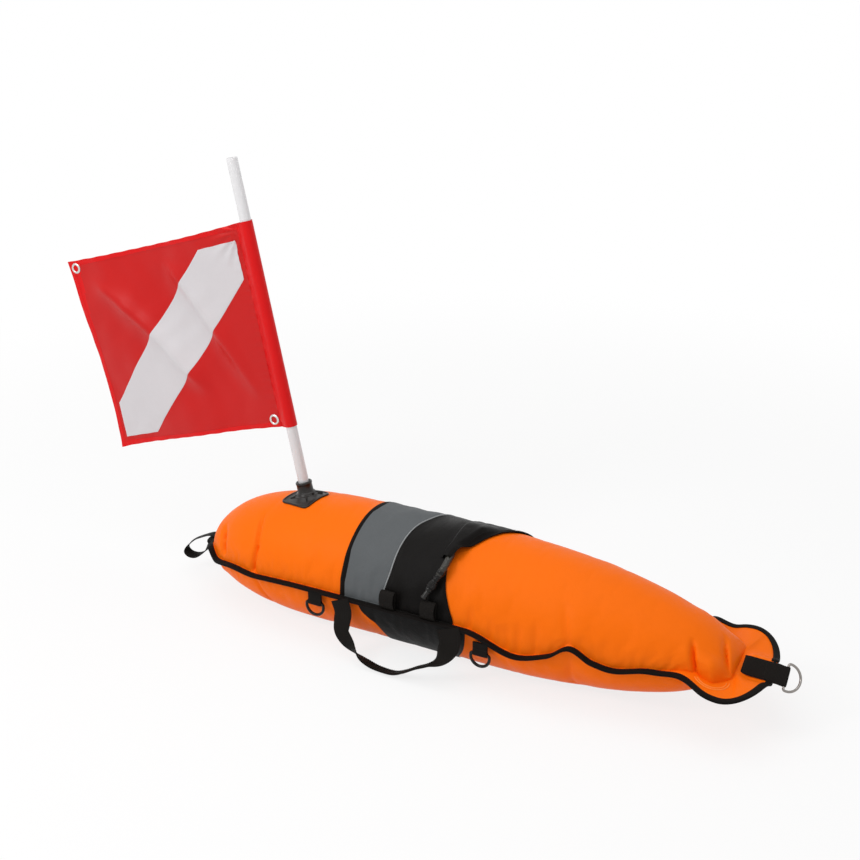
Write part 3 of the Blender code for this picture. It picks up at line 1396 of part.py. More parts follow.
def make_spring(name, frame, low, high, parent, inverse):
    """A round-wire coil round the stem."""
    curve = bpy.data.curves.new(name, "CURVE")
    curve.dimensions = "3D"
    curve.bevel_depth = SPRING_WIRE
    curve.bevel_resolution = 1
    curve.use_fill_caps = True
    spline = curve.splines.new("POLY")
    steps = SPRING_TURNS * 8
    spline.points.add(steps)
    for k in range(steps + 1):
        a = 2 * pi * SPRING_TURNS * k / steps
        height = low + (high - low) * k / steps
        spline.points[k].co = (SPRING_RADIUS * cos(a), SPRING_RADIUS * sin(a), height, 1.0)
    made = add_object(name, curve, "steel")
    made.matrix_world = frame
    made.parent = parent
    made.matrix_parent_inverse = inverse


def make_inflator():
    make_port()
    root = hose_place(HOSE_ROOT_X, HOSE_ROOT_ANGLE, HOSE_LIFT)
    lift = pivot("inflator_lift_hinge", root)
    make_hose(lift)
    make_valve(lift)


def main():
    for leftover in list(bpy.data.objects):
        bpy.data.objects.remove(leftover, do_unlink=True)
    make_covers()
    make_bladder()
    make_seam_binding()
    make_bands()
    make_socket()
    mast_axis = pivot("mast_axis", (0, 0, 0), mast_frame())
    make_mast(mast_axis)
    make_flag(mast_axis)
    make_side_rings()
    make_bow_strap()
    make_stern_loop()
    make_handle()
    make_standing_loop("standing_loop_stern", LOOP_STERN_X, PIPING)
    make_standing_loop("standing_loop_bow", LOOP_BOW_X, PANEL)
    make_inflator()


main()
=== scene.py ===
"""Looks of an inflatable diver's float with its dive flag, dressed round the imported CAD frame.

Metres throughout, in the frame's own axes: +X runs to the bow, the carry handle hangs on the -Y
side and +Z is up. Every sub-assembly is a class whose fields are its sizes, every finish is a
frozen dataclass, and every new surface is worked out with numpy on a grid of two parameters.
"""

import json
import logging
from dataclasses import dataclass
from enum import Enum
from functools import cache
from math import cos, log, pi, radians, sin, sqrt
from typing import NamedTuple, Sequence

import bmesh
import bpy
import numpy as np
from mathutils import Matrix, Vector


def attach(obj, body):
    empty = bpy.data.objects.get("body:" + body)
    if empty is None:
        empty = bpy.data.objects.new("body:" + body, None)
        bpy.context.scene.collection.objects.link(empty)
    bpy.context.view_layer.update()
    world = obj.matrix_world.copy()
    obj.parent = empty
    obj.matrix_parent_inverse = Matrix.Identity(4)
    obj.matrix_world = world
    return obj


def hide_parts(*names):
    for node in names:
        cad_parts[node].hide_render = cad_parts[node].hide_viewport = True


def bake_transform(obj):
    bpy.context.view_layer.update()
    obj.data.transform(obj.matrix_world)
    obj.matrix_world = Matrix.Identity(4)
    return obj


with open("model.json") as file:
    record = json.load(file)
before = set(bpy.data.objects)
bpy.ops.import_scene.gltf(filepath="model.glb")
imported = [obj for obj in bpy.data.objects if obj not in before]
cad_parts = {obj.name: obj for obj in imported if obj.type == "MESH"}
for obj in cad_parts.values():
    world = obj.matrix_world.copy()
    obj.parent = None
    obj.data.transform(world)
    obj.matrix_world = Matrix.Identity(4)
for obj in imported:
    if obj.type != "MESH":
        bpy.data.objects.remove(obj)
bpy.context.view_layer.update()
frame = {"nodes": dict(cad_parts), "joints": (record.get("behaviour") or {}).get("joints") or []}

logging.basicConfig(level=logging.INFO, format="%(message)s")
report = logging.getLogger("float")

Array = np.ndarray
Level = np.ndarray | float
Pair = tuple[float, float]
Triple = tuple[float, float, float]

GAP = 0.0003
SEWN_GAP = 0.0005
WEBBING = 0.0250
WEBBING_THICK = 0.0014
TAPE_THICK = 0.0009
ON_CLOTH = 0.0001


class Side(Enum):
    """The two long sides of the float, as the sign of Y."""

    NEAR = -1
    FAR = 1


class Cover(Enum):
    """The two halves of the fabric cover, as the sign of Z off the seam."""

    UPPER = 1
    LOWER = -1


class Grain(Enum):
    """How a fabric's threads run: a plain weave, or the slanted ribs of webbing."""

    PLAIN = "plain"
    RIBBED = "ribbed"


# ---------------------------------------------------------------- numbers and curves


def eased(value: Level, low: float, high: float) -> Array:
    """A smooth step: 0 below low, 1 above high, 3u^2 - 2u^3 between.

    Args:
        value: where to read the step.
        low: end of the zero part.
        high: start of the part that is one.

    Returns:
        The step's height at each value.
    """
    share = np.clip((np.asarray(value, float) - low) / (high - low), 0.0, 1.0)
    return share * share * (3 - 2 * share)


def hump(value: Array, start: float, full: float, falling: float, end: float) -> Array:
    """A smooth rise from start to full and a smooth fall from falling to end."""
    return eased(value, start, full) * (1 - eased(value, falling, end))


def faired(stations: Sequence[Pair], at: Level) -> Array:
    """A smooth line through named stations, level past both ends.

    Each span is a cubic whose end slopes are the mean slopes of its neighbours.

    Args:
        stations: (place, value) pairs in rising order of place.
        at: places to read.

    Returns:
        The values there.
    """
    places, values = np.array(stations, float).T
    slopes = np.gradient(values, places)
    slopes[0] = slopes[-1] = 0.0
    at = np.clip(at, places[0], places[-1])
    i = np.clip(np.searchsorted(places, at) - 1, 0, len(places) - 2)
    span = places[i + 1] - places[i]
    u = (at - places[i]) / span
    rise = values[i] * (2 * u**3 - 3 * u**2 + 1) + values[i + 1] * (3 * u**2 - 2 * u**3)
    return rise + span * (slopes[i] * (u**3 - 2 * u**2 + u) + slopes[i + 1] * (u**3 - u**2))


def unit(vectors: Array) -> Array:
    """The same directions with length one."""
    return vectors / np.maximum(np.linalg.norm(vectors, axis=-1, keepdims=True), 1e-12)


def xyz(x: Level, y: Level, z: Level) -> Array:
    """Points from their three coordinates, spread to one shape."""
    return np.stack(np.broadcast_arrays(x, y, z), axis=-1)


def polar(radius: Level, turn: Array, z: Level) -> Array:
    """Points at a distance and an angle round Z."""
    return xyz(radius * np.cos(turn), radius * np.sin(turn), z)


def smooth_path(points: Sequence[Sequence[float]], count: int) -> Array:
    """A line of count points through given ones: each span a cubic with its neighbours' mean slope."""
    given = np.array(points, float)
    longer = np.concatenate([[2 * given[0] - given[1]], given, [2 * given[-1] - given[-2]]])
    at = np.linspace(0, len(given) - 1, count)
    i = np.minimum(at.astype(int), len(given) - 2)
    u = (at - i)[:, None]
    a, b, c, d = (longer[i + k] for k in range(4))
    return 0.5 * (2 * b + (c - a) * u + (2 * a - 5 * b + 4 * c - d) * u**2 + (3 * b - a - 3 * c + d) * u**3)


def lengths_along(path: Array) -> Array:
    """Distance walked along a line at each of its points."""
    steps = np.linalg.norm(np.diff(path, axis=0), axis=1)
    return np.concatenate([[0.0], np.cumsum(steps)])


def read_along(path: Array, values: Array, at: Array) -> Array:
    """What is given at a line's points, read at distances walked along it."""
    walked = lengths_along(path)
    return np.stack([np.interp(at, walked, column) for column in values.T], axis=-1)


def even_path(path: Array, step: float) -> Array:
    """The same line with points a fixed step apart."""
    length = lengths_along(path)[-1]
    return read_along(path, path, np.linspace(0, length, max(2, int(round(length / step)) + 1)))


# ---------------------------------------------------------------- meshes


class Form(NamedTuple):
    """A mesh to be: its points, its faces as point numbers, and a place on the cloth for each point."""

    points: Array
    faces: list[list[int]]
    uv: Array | None = None


class Stitch(NamedTuple):
    """How a seam is sewn: a stitch's length, the distance between stitches, the thread's thickness."""

    length: float
    pitch: float
    thick: float


def grid_faces(rows: int, columns: int) -> Array:
    """Quads of a grid of points: a corner, the next in its row, and the same two a row on."""
    i = np.arange(rows - 1)[:, None] * columns
    j = np.arange(columns - 1)[None, :]
    corners = [i + j, i + j + 1, i + columns + j + 1, i + columns + j]
    return np.stack(corners, axis=-1).reshape(-1, 4)


def add_object(name: str, data: bpy.types.ID) -> bpy.types.Object:
    """A new object in the scene."""
    made = bpy.data.objects.new(name, data)
    bpy.context.scene.collection.objects.link(made)
    return made


def add_piece(
    name: str, form: Form, finish: "Finish", body: str = "float", sharp: float = 40.0
) -> bpy.types.Object:
    """One piece of the float. It stands for the CAD node of its own name, where there is one.

    Doubles are merged, which closes seams and poles, and faces are turned outwards.

    Args:
        name: the piece's name.
        form: its points, faces and places on the cloth.
        finish: what it is made of.
        body: the CAD body it rides on, empty where it rides on none.
        sharp: edges bent more than this many degrees stay crisp.

    Returns:
        The object.
    """
    mesh = bpy.data.meshes.new(name)
    mesh.from_pydata(form.points.reshape(-1, 3).tolist(), [], form.faces)
    if form.uv is not None:
        layer = mesh.uv_layers.new(name="UVMap")
        corner = np.zeros(len(mesh.loops), np.int32)
        mesh.loops.foreach_get("vertex_index", corner)
        layer.data.foreach_set("uv", form.uv.reshape(-1, 2)[corner].astype(np.float32).ravel())
    joined = bmesh.new()
    joined.from_mesh(mesh)
    bmesh.ops.remove_doubles(joined, verts=joined.verts, dist=2e-6)
    bmesh.ops.recalc_face_normals(joined, faces=joined.faces)
    joined.to_mesh(mesh)
    joined.free()
    mesh.shade_smooth()
    mesh.set_sharp_from_angle(angle=radians(sharp))
    mesh.materials.append(finish.material())
    made = add_object(name, mesh)
    if body:
        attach(made, body)
    if name in frame["nodes"]:
        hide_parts(name)
    report.info("%s: %d faces in %s on %s", name, len(mesh.polygons), finish.name, body or "two bodies")
    return made


def cloth_shell(front: Array, back: Array, uv: Array) -> Form:
    """The two sides of a sheet and the rim between them.

    Args:
        front: grid of points of one side.
        back: grid of the same shape for the other side.
        uv: places on the cloth, the same for both sides.

    Returns:
        The closed sheet.
    """
    rows, columns = front.shape[:2]
    count = rows * columns
    points = np.concatenate([front.reshape(-1, 3), back.reshape(-1, 3)])
    side = grid_faces(rows, columns)
    number = np.arange(count).reshape(rows, columns)
    ring = np.concatenate([number[0], number[1:, -1], number[-1, -2::-1], number[-2:0:-1, 0]])
    ahead = np.roll(ring, -1)
    rim = np.stack([ahead, ring, ring + count, ahead + count], axis=-1)
    return Form(points, np.concatenate([side, side[:, ::-1] + count, rim]).tolist(), np.concatenate([uv, uv]))


def swept(sections: Array, capped: bool = True, uv: Array | None = None) -> Form:
    """A section carried along a path; each section's last point repeats its first.

    Args:
        sections: rows of section points along the path.
        capped: whether each end gets a face.
        uv: a place on the cloth for each point.

    Returns:
        The swept body.
    """
    rows, columns = sections.shape[:2]
    faces = grid_faces(rows, columns).tolist()
    if capped:
        faces.append(list(range(columns - 2, -1, -1)))
        faces.append([(rows - 1) * columns + j for j in range(columns - 1)])
    return Form(sections.reshape(-1, 3), faces, uv)


def pointed(grid: Array) -> Array:
    """A grid with one more row at each end, gathered to a point."""
    ends = grid[[0, -1]].mean(axis=1, keepdims=True) + 0 * grid[[0, -1]]
    return np.concatenate([ends[:1], grid, ends[1:]])


def sweep_uv(path: Array, section: Array) -> Array:
    """Cloth places for a sweep: round the section first, along the path second."""
    return np.stack(np.meshgrid(lengths_along(section), lengths_along(path)), axis=-1)


def round_bar(path: Array, radius: Level, sides: int, way: Sequence[float]) -> Array:
    """Sections of a round bar: centre + r (cos a across + sin a up), across square to the path.

    Args:
        path: centre line.
        radius: one radius, or one for each point of the line.
        sides: facets round the bar.
        way: a direction that the path never runs along.

    Returns:
        Grid of points, closed round each section.
    """
    ahead = unit(np.gradient(path, axis=0))
    if np.allclose(path[0], path[-1]):
        ahead[0] = ahead[-1] = unit(path[1] - path[-2])
    across = unit(np.cross(ahead, np.array(way, float)))[:, None, :]
    up = np.cross(across, ahead[:, None, :])
    turn = np.linspace(0, 2 * pi, sides + 1)[None, :, None]
    reach = np.broadcast_to(np.asarray(radius, float), (len(path),))[:, None, None]
    return path[:, None, :] + reach * (across * np.cos(turn) + up * np.sin(turn))


def ribbon(path: Array, ways: Array | Triple, width: Level, thick: Level, bow: Level = 0.0) -> Array:
    """Sections of webbing: a flat strip with rounded edges, arched across its width by bow.

    A section point is centre + s w across + t flat, s and t running round a stadium.

    Args:
        path: centre line.
        ways: direction of the width, one for all or one for each point.
        width: width, one for all or one for each point.
        thick: thickness of the webbing, in the same way.
        bow: how far the middle stands off the edges, in the same way.

    Returns:
        Grid of points, closed round each section.
    """
    ahead = unit(np.gradient(path, axis=0))
    across = unit(np.broadcast_to(np.asarray(ways, float), path.shape))
    flat = unit(np.cross(ahead, across))
    share = np.linspace(-1, 1, 9)
    edge = np.sqrt(np.clip(1 - np.abs(share) ** 14, 0.10, 1))
    s = np.concatenate([share, share[::-1], share[:1]])
    t = np.concatenate([edge, -edge[::-1], edge[:1]])
    count = (len(path),)
    width, thick, bow = (np.broadcast_to(np.asarray(v, float), count)[:, None] for v in (width, thick, bow))
    out = path[:, None, :] + across[:, None, :] * (width / 2 * s)[..., None]
    return out + flat[:, None, :] * (t * thick / 2 + bow * (1 - s**2))[..., None]


def softened(profile: Sequence[Pair], radius: float) -> Array:
    """A closed (radius, height) profile with each corner rounded.

    Each corner becomes three points: one before it, one after, and the middle of a
    quadratic curve between them. Points on the axis stay.

    Args:
        profile: corners in order.
        radius: how far from a corner its round begins, at most 0.4 of the edge.

    Returns:
        The rounded profile, first point repeated at the end.
    """
    corner = np.array(profile, float)
    cut = []
    for other in (np.roll(corner, 1, axis=0), np.roll(corner, -1, axis=0)):
        span = np.linalg.norm(other - corner, axis=1, keepdims=True)
        cut.append(corner + (other - corner) * np.minimum(radius / np.maximum(span, 1e-9), 0.4))
    middle = 0.25 * cut[0] + 0.5 * corner + 0.25 * cut[1]
    on_axis = corner[:, :1] < 1e-6
    rounds = [np.where(on_axis, corner, part) for part in (cut[0], middle, cut[1])]
    line = np.stack(rounds, axis=1).reshape(-1, 2)
    return np.concatenate([line, line[:1]])


def placed(points: Array, matrix: Matrix) -> Array:
    """Points carried by a matrix."""
    return points @ np.array(matrix.to_3x3()).T + np.array(matrix.translation)


def turned(profile: Array, matrix: Matrix, sides: int = 48) -> Form:
    """A profile turned about the matrix's Z: (r cos a, r sin a, h).

    Args:
        profile: closed line of (radius, height).
        matrix: where the axis stands.
        sides: facets round it.

    Returns:
        The turned body.
    """
    turn = np.linspace(0, 2 * pi, sides + 1)
    radius, height = profile[:, :1], profile[:, 1:]
    uv = np.meshgrid(turn * float(radius.max()), lengths_along(profile))
    return swept(placed(polar(radius, turn[None, :], height), matrix), False, np.stack(uv, axis=-1))


def stitches(path: Array, up: Array | Triple, stitch: Stitch) -> Form:
    """Short threads laid along a line: one low six-sided dash each pitch.

    Args:
        path: the stitch line on the cloth.
        up: direction off the cloth, one for all or one for each point of the path.
        stitch: how it is sewn.

    Returns:
        The whole run.
    """
    at = np.arange(stitch.pitch / 2, lengths_along(path)[-1], stitch.pitch)
    ahead = unit(read_along(path, np.gradient(path, axis=0), at))
    off = unit(read_along(path, np.broadcast_to(np.asarray(up, float), path.shape), at))
    across = unit(np.cross(off, ahead))
    dash = np.array([
        (-0.5, 0, -0.15), (-0.32, -0.5, 0.0), (-0.32, 0.5, 0.0), (-0.3, 0, 0.45),
        (0.32, -0.5, 0.0), (0.32, 0.5, 0.0), (0.3, 0, 0.45), (0.5, 0, -0.15),
    ])
    faces = np.array([
        [0, 1, 3], [0, 3, 2], [0, 2, 1], [1, 4, 6], [1, 6, 3], [3, 6, 5], [3, 5, 2],
        [2, 5, 4], [2, 4, 1], [7, 6, 4], [7, 5, 6], [7, 4, 5],
    ])
    sized = dash * (stitch.length, stitch.thick, stitch.thick)
    points = read_along(path, path, at)[:, None, :] + sized @ np.stack([ahead, across, off], axis=1)
    first = np.arange(len(at))[:, None, None] * len(dash)
    return Form(points.reshape(-1, 3), (faces[None] + first).reshape(-1, 3).tolist())


# ---------------------------------------------------------------- shader groups


class Shader:
    """A small helper that adds and links nodes in one tree."""

    def __init__(self, tree: bpy.types.NodeTree) -> None:
        """Keeps the tree that the nodes go into."""
        self.tree = tree

    def fill(self, node: bpy.types.Node, inputs: dict[str | int, object]) -> None:
        """Puts a value on each input named, or links it when the value is a socket."""
        for label, value in inputs.items():
            if isinstance(value, bpy.types.NodeSocket):
                self.tree.links.new(value, node.inputs[label])
            else:
                node.inputs[label].default_value = value

    def add(
        self, kind: str, inputs: dict[str | int, object] | None = None, **settings: object
    ) -> bpy.types.Node:
        """A node of a kind, with its own settings and inputs."""
        node = self.tree.nodes.new(kind)
        for key, value in settings.items():
            setattr(node, key, value)
        self.fill(node, inputs or {})
        return node

    def group(self, tree: bpy.types.NodeTree, inputs: dict[str | int, object]) -> bpy.types.NodeSocket:
        """What a shader group gives for its inputs."""
        return self.add("ShaderNodeGroup", inputs, node_tree=tree).outputs[0]

    def math(self, operation: str, first: object, second: object = 0.5) -> bpy.types.NodeSocket:
        """One arithmetic step on sockets or numbers."""
        return self.add("ShaderNodeMath", {0: first, 1: second}, operation=operation).outputs[0]

    def mix(self, factor: object, first: object, second: object) -> bpy.types.NodeSocket:
        """A mix of two colours."""
        first_colour, second_colour, mixed = 6, 7, 2
        inputs = {"Factor": factor, first_colour: first, second_colour: second}
        return self.add("ShaderNodeMix", inputs, data_type="RGBA").outputs[mixed]

    def noise(self, vector: bpy.types.NodeSocket, scale: object, detail: float) -> bpy.types.NodeSocket:
        """Soft noise over a vector, from 0 to 1."""
        return self.add("ShaderNodeTexNoise", {"Vector": vector, "Scale": scale, "Detail": detail}).outputs[0]


def new_group(
    name: str, place: str, numbers: Sequence[str], output: str
) -> tuple[Shader, dict, bpy.types.Node]:
    """An empty shader group.

    Args:
        name: the group's name.
        place: its vector input.
        numbers: its other inputs.
        output: its one output.

    Returns:
        A helper on the group, its inputs by name, and the node that takes its output.
    """
    shade = Shader(bpy.data.node_groups.new(name, "ShaderNodeTree"))
    add_socket = shade.tree.interface.new_socket
    add_socket(place, in_out="INPUT", socket_type="NodeSocketVector")
    for label in numbers:
        add_socket(label, in_out="INPUT", socket_type="NodeSocketFloat")
    add_socket(output, in_out="OUTPUT", socket_type="NodeSocketFloat")
    start, end = shade.add("NodeGroupInput"), shade.add("NodeGroupOutput")
    return shade, {label: start.outputs[label] for label in (place, *numbers)}, end


@cache
def weave_group(grain: Grain) -> bpy.types.NodeTree:
    """Threads of cloth, built once for each grain.

    A plain weave's height is sin(2 pi u n) sin(2 pi v n); webbing's is a row of ribs across the
    strap, |sin(pi (v n + z))|, where z zigzags over the width.

    Args:
        grain: which way the threads run.

    Returns:
        The group: Cloth and Threads in, Height out.
    """
    shade, given, end = new_group(f"weave_{grain.value}", "Cloth", ("Threads",), "Height")
    parts = shade.add("ShaderNodeSeparateXYZ", {0: given["Cloth"]})
    turn = shade.math("MULTIPLY", given["Threads"], 2 * pi)
    u = shade.math("MULTIPLY", parts.outputs["X"], turn)
    v = shade.math("MULTIPLY", parts.outputs["Y"], turn)
    if grain is Grain.PLAIN:
        product = shade.math("MULTIPLY", shade.math("SINE", u), shade.math("SINE", v))
        height = shade.math("MULTIPLY_ADD", product, 0.5)
    else:
        zigzag = shade.math("PINGPONG", shade.math("MULTIPLY", u, 0.25), 1.6)
        slanted = shade.math("ADD", shade.math("MULTIPLY", v, 0.5), zigzag)
        height = shade.math("ABSOLUTE", shade.math("SINE", slanted))
    shade.fill(end, {"Height": height})
    return shade.tree


@cache
def tone_group() -> bpy.types.NodeTree:
    """Slow and quick changes of tone over a piece: two noises mixed to one value round 1.

    Returns:
        The group: Place, Scale and Amount in, Tone out.
    """
    shade, given, end = new_group("tone_change", "Place", ("Scale", "Amount"), "Tone")
    slow = shade.noise(given["Place"], given["Scale"], 2.0)
    quick = shade.noise(given["Place"], shade.math("MULTIPLY", given["Scale"], 14.0), 4.0)
    both = shade.math("ADD", shade.math("MULTIPLY", slow, 0.65), shade.math("MULTIPLY", quick, 0.35))
    swing = shade.math("MULTIPLY", shade.math("SUBTRACT", both, 0.5), given["Amount"])
    shade.fill(end, {"Tone": shade.math("ADD", swing, 1.0)})
    return shade.tree


@cache
def scuff_group() -> bpy.types.NodeTree:
    """Fine scuffs: stretched noise cut to thin marks, from 0 to 1.

    Returns:
        The group: Place and Scale in, Scuff out.
    """
    shade, given, end = new_group("scuffs", "Place", ("Scale",), "Scuff")
    mapped = shade.add("ShaderNodeMapping", {"Scale": (1.0, 0.35, 2.5), "Vector": given["Place"]})
    streak = shade.noise(mapped.outputs[0], given["Scale"], 6.0)
    cut = shade.add("ShaderNodeMapRange", {"From Min": 0.56, "From Max": 0.72, "Value": streak})
    shade.fill(end, {"Scuff": cut.outputs[0]})
    return shade.tree


# ---------------------------------------------------------------- finishes


@dataclass(frozen=True)
class Finish:
    """What a piece is made of: a colour, how it shines and the record's slot it belongs to."""

    name: str
    slot: str
    colour: Triple
    roughness: float = 0.5
    tone: float = 0.2
    tone_scale: float = 9.0
    specular: float = 0.25

    def material(self) -> bpy.types.Material:
        """The finish's material, made once, under a name that none of the frame's materials has."""
        title = f"{self.name}_finish"
        if title in bpy.data.materials:
            return bpy.data.materials[title]
        made = bpy.data.materials.new(title)
        made.use_nodes = True
        shade = Shader(made.node_tree)
        body = made.node_tree.nodes["Principled BSDF"]
        shade.fill(body, {"Specular IOR Level": self.specular, **self.dress(shade)})
        return made

    def dress(self, shade: Shader) -> dict[str, object]:
        """What goes on the Principled node, by the name of its input."""
        raise NotImplementedError

    def toned(self, shade: Shader, place: bpy.types.NodeSocket, colour: object) -> bpy.types.NodeSocket:
        """The colour with its slow and quick changes of tone."""
        tone = shade.group(tone_group(), {"Place": place, "Scale": self.tone_scale, "Amount": self.tone})
        return shade.add("ShaderNodeVectorMath", {0: colour, "Scale": tone}, operation="SCALE").outputs[0]

    def bumped(self, shade: Shader, height: object, depth: float) -> bpy.types.NodeSocket:
        """The surface raised by a height map, depth being its full height in metres."""
        return shade.add("ShaderNodeBump", {"Strength": 1.0, "Distance": depth, "Height": height}).outputs[0]


@dataclass(frozen=True)
class Fabric(Finish):
    """Woven cloth or webbing, its threads laid on the piece's own cloth map in metres."""

    specular: float = 0.10
    grain: Grain = Grain.PLAIN
    threads: float = 900.0
    depth: float = 0.00012
    sheen: float = 0.15
    # thread_shade: how much darker the weave's hollows and lighter the thread tops are painted, as painted
    # shade and painted light
    thread_shade: float = 0.12

    def dress(self, shade: Shader) -> dict[str, object]:
        """Threads in the bump and the colour, a sheen, and a drift of roughness; the colour is darker in the
        weave's hollows and lighter on the thread tops, painted shade and painted light at the scale of the
        threads.
        """
        where = shade.add("ShaderNodeTexCoord").outputs
        weave = shade.group(weave_group(self.grain), {"Cloth": where["UV"], "Threads": self.threads})
        # Painted shade in the weave's hollows and painted light on the thread tops, mixed by the weave's
        # height.
        low = [c * (1 - self.thread_shade) for c in self.colour]
        high = [min(1.0, c * (1 + 0.5 * self.thread_shade)) for c in self.colour]
        threads = shade.mix(weave, (*low, 1.0), (*high, 1.0))
        colour = self.toned(shade, where["Object"], threads)
        drift = shade.noise(where["Object"], 40.0, 3.0)
        spread = shade.math("MULTIPLY", shade.math("SUBTRACT", drift, 0.5), 0.16)
        roughness = shade.math("ADD", spread, self.roughness)
        crumple = shade.noise(where["Object"], 160.0, 2.0)
        height = shade.math("ADD", weave, shade.math("MULTIPLY", crumple, 1.4))
        return {
            "Base Color": colour, "Roughness": roughness, "Normal": self.bumped(shade, height, self.depth),
            "Sheen Weight": self.sheen, "Sheen Roughness": 0.45, "Sheen Tint": (*self.colour, 1.0),
        }


@dataclass(frozen=True)
class Moulded(Finish):
    """Moulded rubber or plastic: a fine grain, scuffs that lighten it, and a clear gloss."""

    grain_scale: float = 1800.0
    grain_depth: float = 0.00004
    scuff: float = 0.25
    coat: float = 0.0
    metallic: float = 0.0
    transmission: float = 0.0
    ior: float = 1.5

    def dress(self, shade: Shader) -> dict[str, object]:
        """Grain in the bump, scuffs in colour and roughness."""
        place = shade.add("ShaderNodeTexCoord").outputs["Object"]
        scuffs = shade.group(scuff_group(), {"Place": place, "Scale": 140.0})
        worn = [min(1.0, c * (1 + self.scuff) + 0.03 * self.scuff) for c in self.colour]
        colour = self.toned(shade, place, shade.mix(scuffs, (*self.colour, 1.0), (*worn, 1.0)))
        rougher = shade.math("MULTIPLY", scuffs, 0.6 * self.scuff)
        roughness = shade.math("ADD", rougher, self.roughness)
        grain = shade.noise(place, self.grain_scale, 2.0)
        return {
            "Base Color": colour, "Roughness": roughness,
            "Normal": self.bumped(shade, grain, self.grain_depth),
            "Metallic": self.metallic, "Transmission Weight": self.transmission, "IOR": self.ior,
            "Coat Weight": self.coat, "Coat Roughness": 0.12,
        }


ORANGE = Fabric(
    "orange_cover", "orange_nylon", (1.0, 0.164, 0.0030), 0.44, 0.10, 6.0,
    specular=0.07, threads=620.0, depth=0.00009, sheen=0.03, thread_shade=0.12,
)
# Lighter orange than the cover: the real weld beads with a painted highlight along their raised line.
WELD_PAINTED_HIGHLIGHT = Fabric(
    "orange_weld", "orange_nylon", (1.0, 0.270, 0.035), 0.38, 0.10, 6.0,
    specular=0.2, threads=620.0, depth=0.00005, sheen=0.05,
)
GREY = Fabric(
    "grey_cloth", "grey_nylon", (0.110, 0.118, 0.123), 0.60, 0.30, 14.0,
    threads=520.0, depth=0.00014, sheen=0.05, thread_shade=0.26,
)
BLACK = Fabric(
    "black_cloth", "black_nylon", (0.0056, 0.0048, 0.0044), 0.42, 0.5, 16.0,
    specular=0.07, threads=420.0, depth=0.00018, sheen=0.02, thread_shade=0.4,
)
PATCH = Fabric(
    "patch_cloth", "black_nylon", (0.0066, 0.0062, 0.0061), 0.58, 0.6, 20.0,
    specular=0.12, threads=260.0, depth=0.00034, sheen=0.04, thread_shade=0.5,
)
TAPE = Fabric(
    "binding_tape", "black_webbing", (0.0075, 0.0062, 0.0056), 0.58, 0.4, 22.0,
    specular=0.04, grain=Grain.RIBBED, threads=620.0, depth=0.00026, sheen=0.05, thread_shade=0.4,
)
WEBBED = Fabric(
    "black_webbing", "black_webbing", (0.0095, 0.0080, 0.0070), 0.56, 0.5, 22.0,
    specular=0.06, grain=Grain.RIBBED, threads=520.0, depth=0.00032, sheen=0.02, thread_shade=0.5,
)
THREAD = Fabric(
    "black_thread", "black_webbing", (0.020, 0.019, 0.018), 0.6, 0.3, 60.0, threads=2500.0, depth=0.00005,
)
GREY_THREAD = Fabric(
    "grey_thread", "grey_nylon", (0.16, 0.17, 0.18), 0.6, 0.3, 60.0, threads=2500.0, depth=0.00005,
)
RED_THREAD = Fabric(
    "red_thread", "red_cloth", (0.46, 0.006, 0.008), 0.6, 0.2, 60.0, threads=2500.0, depth=0.00005,
)
PIPING = Fabric(
    "reflective_piping", "reflective_piping", (0.33, 0.34, 0.345), 0.38, 0.5, 90.0,
    specular=0.4, threads=900.0, depth=0.00012, sheen=0.2, thread_shade=0.3,
)
RED = Fabric(
    "red_flag", "red_cloth", (0.570, 0.0065, 0.0055), 0.34, 0.12, 7.0,
    specular=0.24, threads=700.0, depth=0.00007, sheen=0.04, thread_shade=0.10,
)
RED_HEM = Fabric(
    "red_hem", "red_cloth", (0.720, 0.0030, 0.0040), 0.40, 0.16, 30.0,
    specular=0.20, threads=700.0, depth=0.00010, sheen=0.04, thread_shade=0.14,
)
WHITE = Fabric(
    "white_stripe", "white_cloth", (0.655, 0.625, 0.642), 0.36, 0.10, 7.0,
    specular=0.32, threads=700.0, depth=0.00007, sheen=0.1, thread_shade=0.08,
)
RUBBER = Moulded(
    "socket_rubber", "black_rubber", (0.0090, 0.0062, 0.0048), 0.30, 0.3, 40.0,
    specular=0.32, grain_scale=900.0, grain_depth=0.00006, scuff=0.5, coat=0.08,
)
BLACK_PLASTIC = Moulded(
    "black_plastic", "black_plastic", (0.0050, 0.0044, 0.0040), 0.20, 0.3, 60.0,
    specular=0.22, scuff=0.4,
)
HOSE = Moulded(
    "smoky_hose", "grey_hose", (0.034, 0.031, 0.025), 0.16, 0.4, 60.0,
    specular=0.38, scuff=0.4, transmission=0.25, ior=1.45,
)
MOUTH = Moulded(
    "grey_mouthpiece", "grey_hose", (0.014, 0.013, 0.012), 0.24, 0.3, 80.0, specular=0.25, scuff=0.4,
)
STEEL = Moulded(
    "polished_steel", "steel", (0.27, 0.250, 0.235), 0.18, 0.10, 90.0,
    specular=0.5, grain_scale=700.0, grain_depth=0.00002, scuff=0.15, metallic=1.0,
)
NICKEL = Moulded(
    "nickel_eyelet", "steel", (0.68, 0.66, 0.64), 0.24, 0.10, 120.0,
    specular=0.5, grain_scale=1200.0, grain_depth=0.00002, scuff=0.2, metallic=1.0,
)
MILKY = Moulded(
    "milky_tube", "clear_tube", (0.90, 0.89, 0.90), 0.22, 0.04, 20.0,
    specular=0.5, grain_scale=300.0, grain_depth=0.00001, scuff=0.05, transmission=0.22, ior=1.40,
)
FILM = Moulded("bladder_film", "bladder_film", (0.62, 0.60, 0.52), 0.35, 0.1, 20.0)


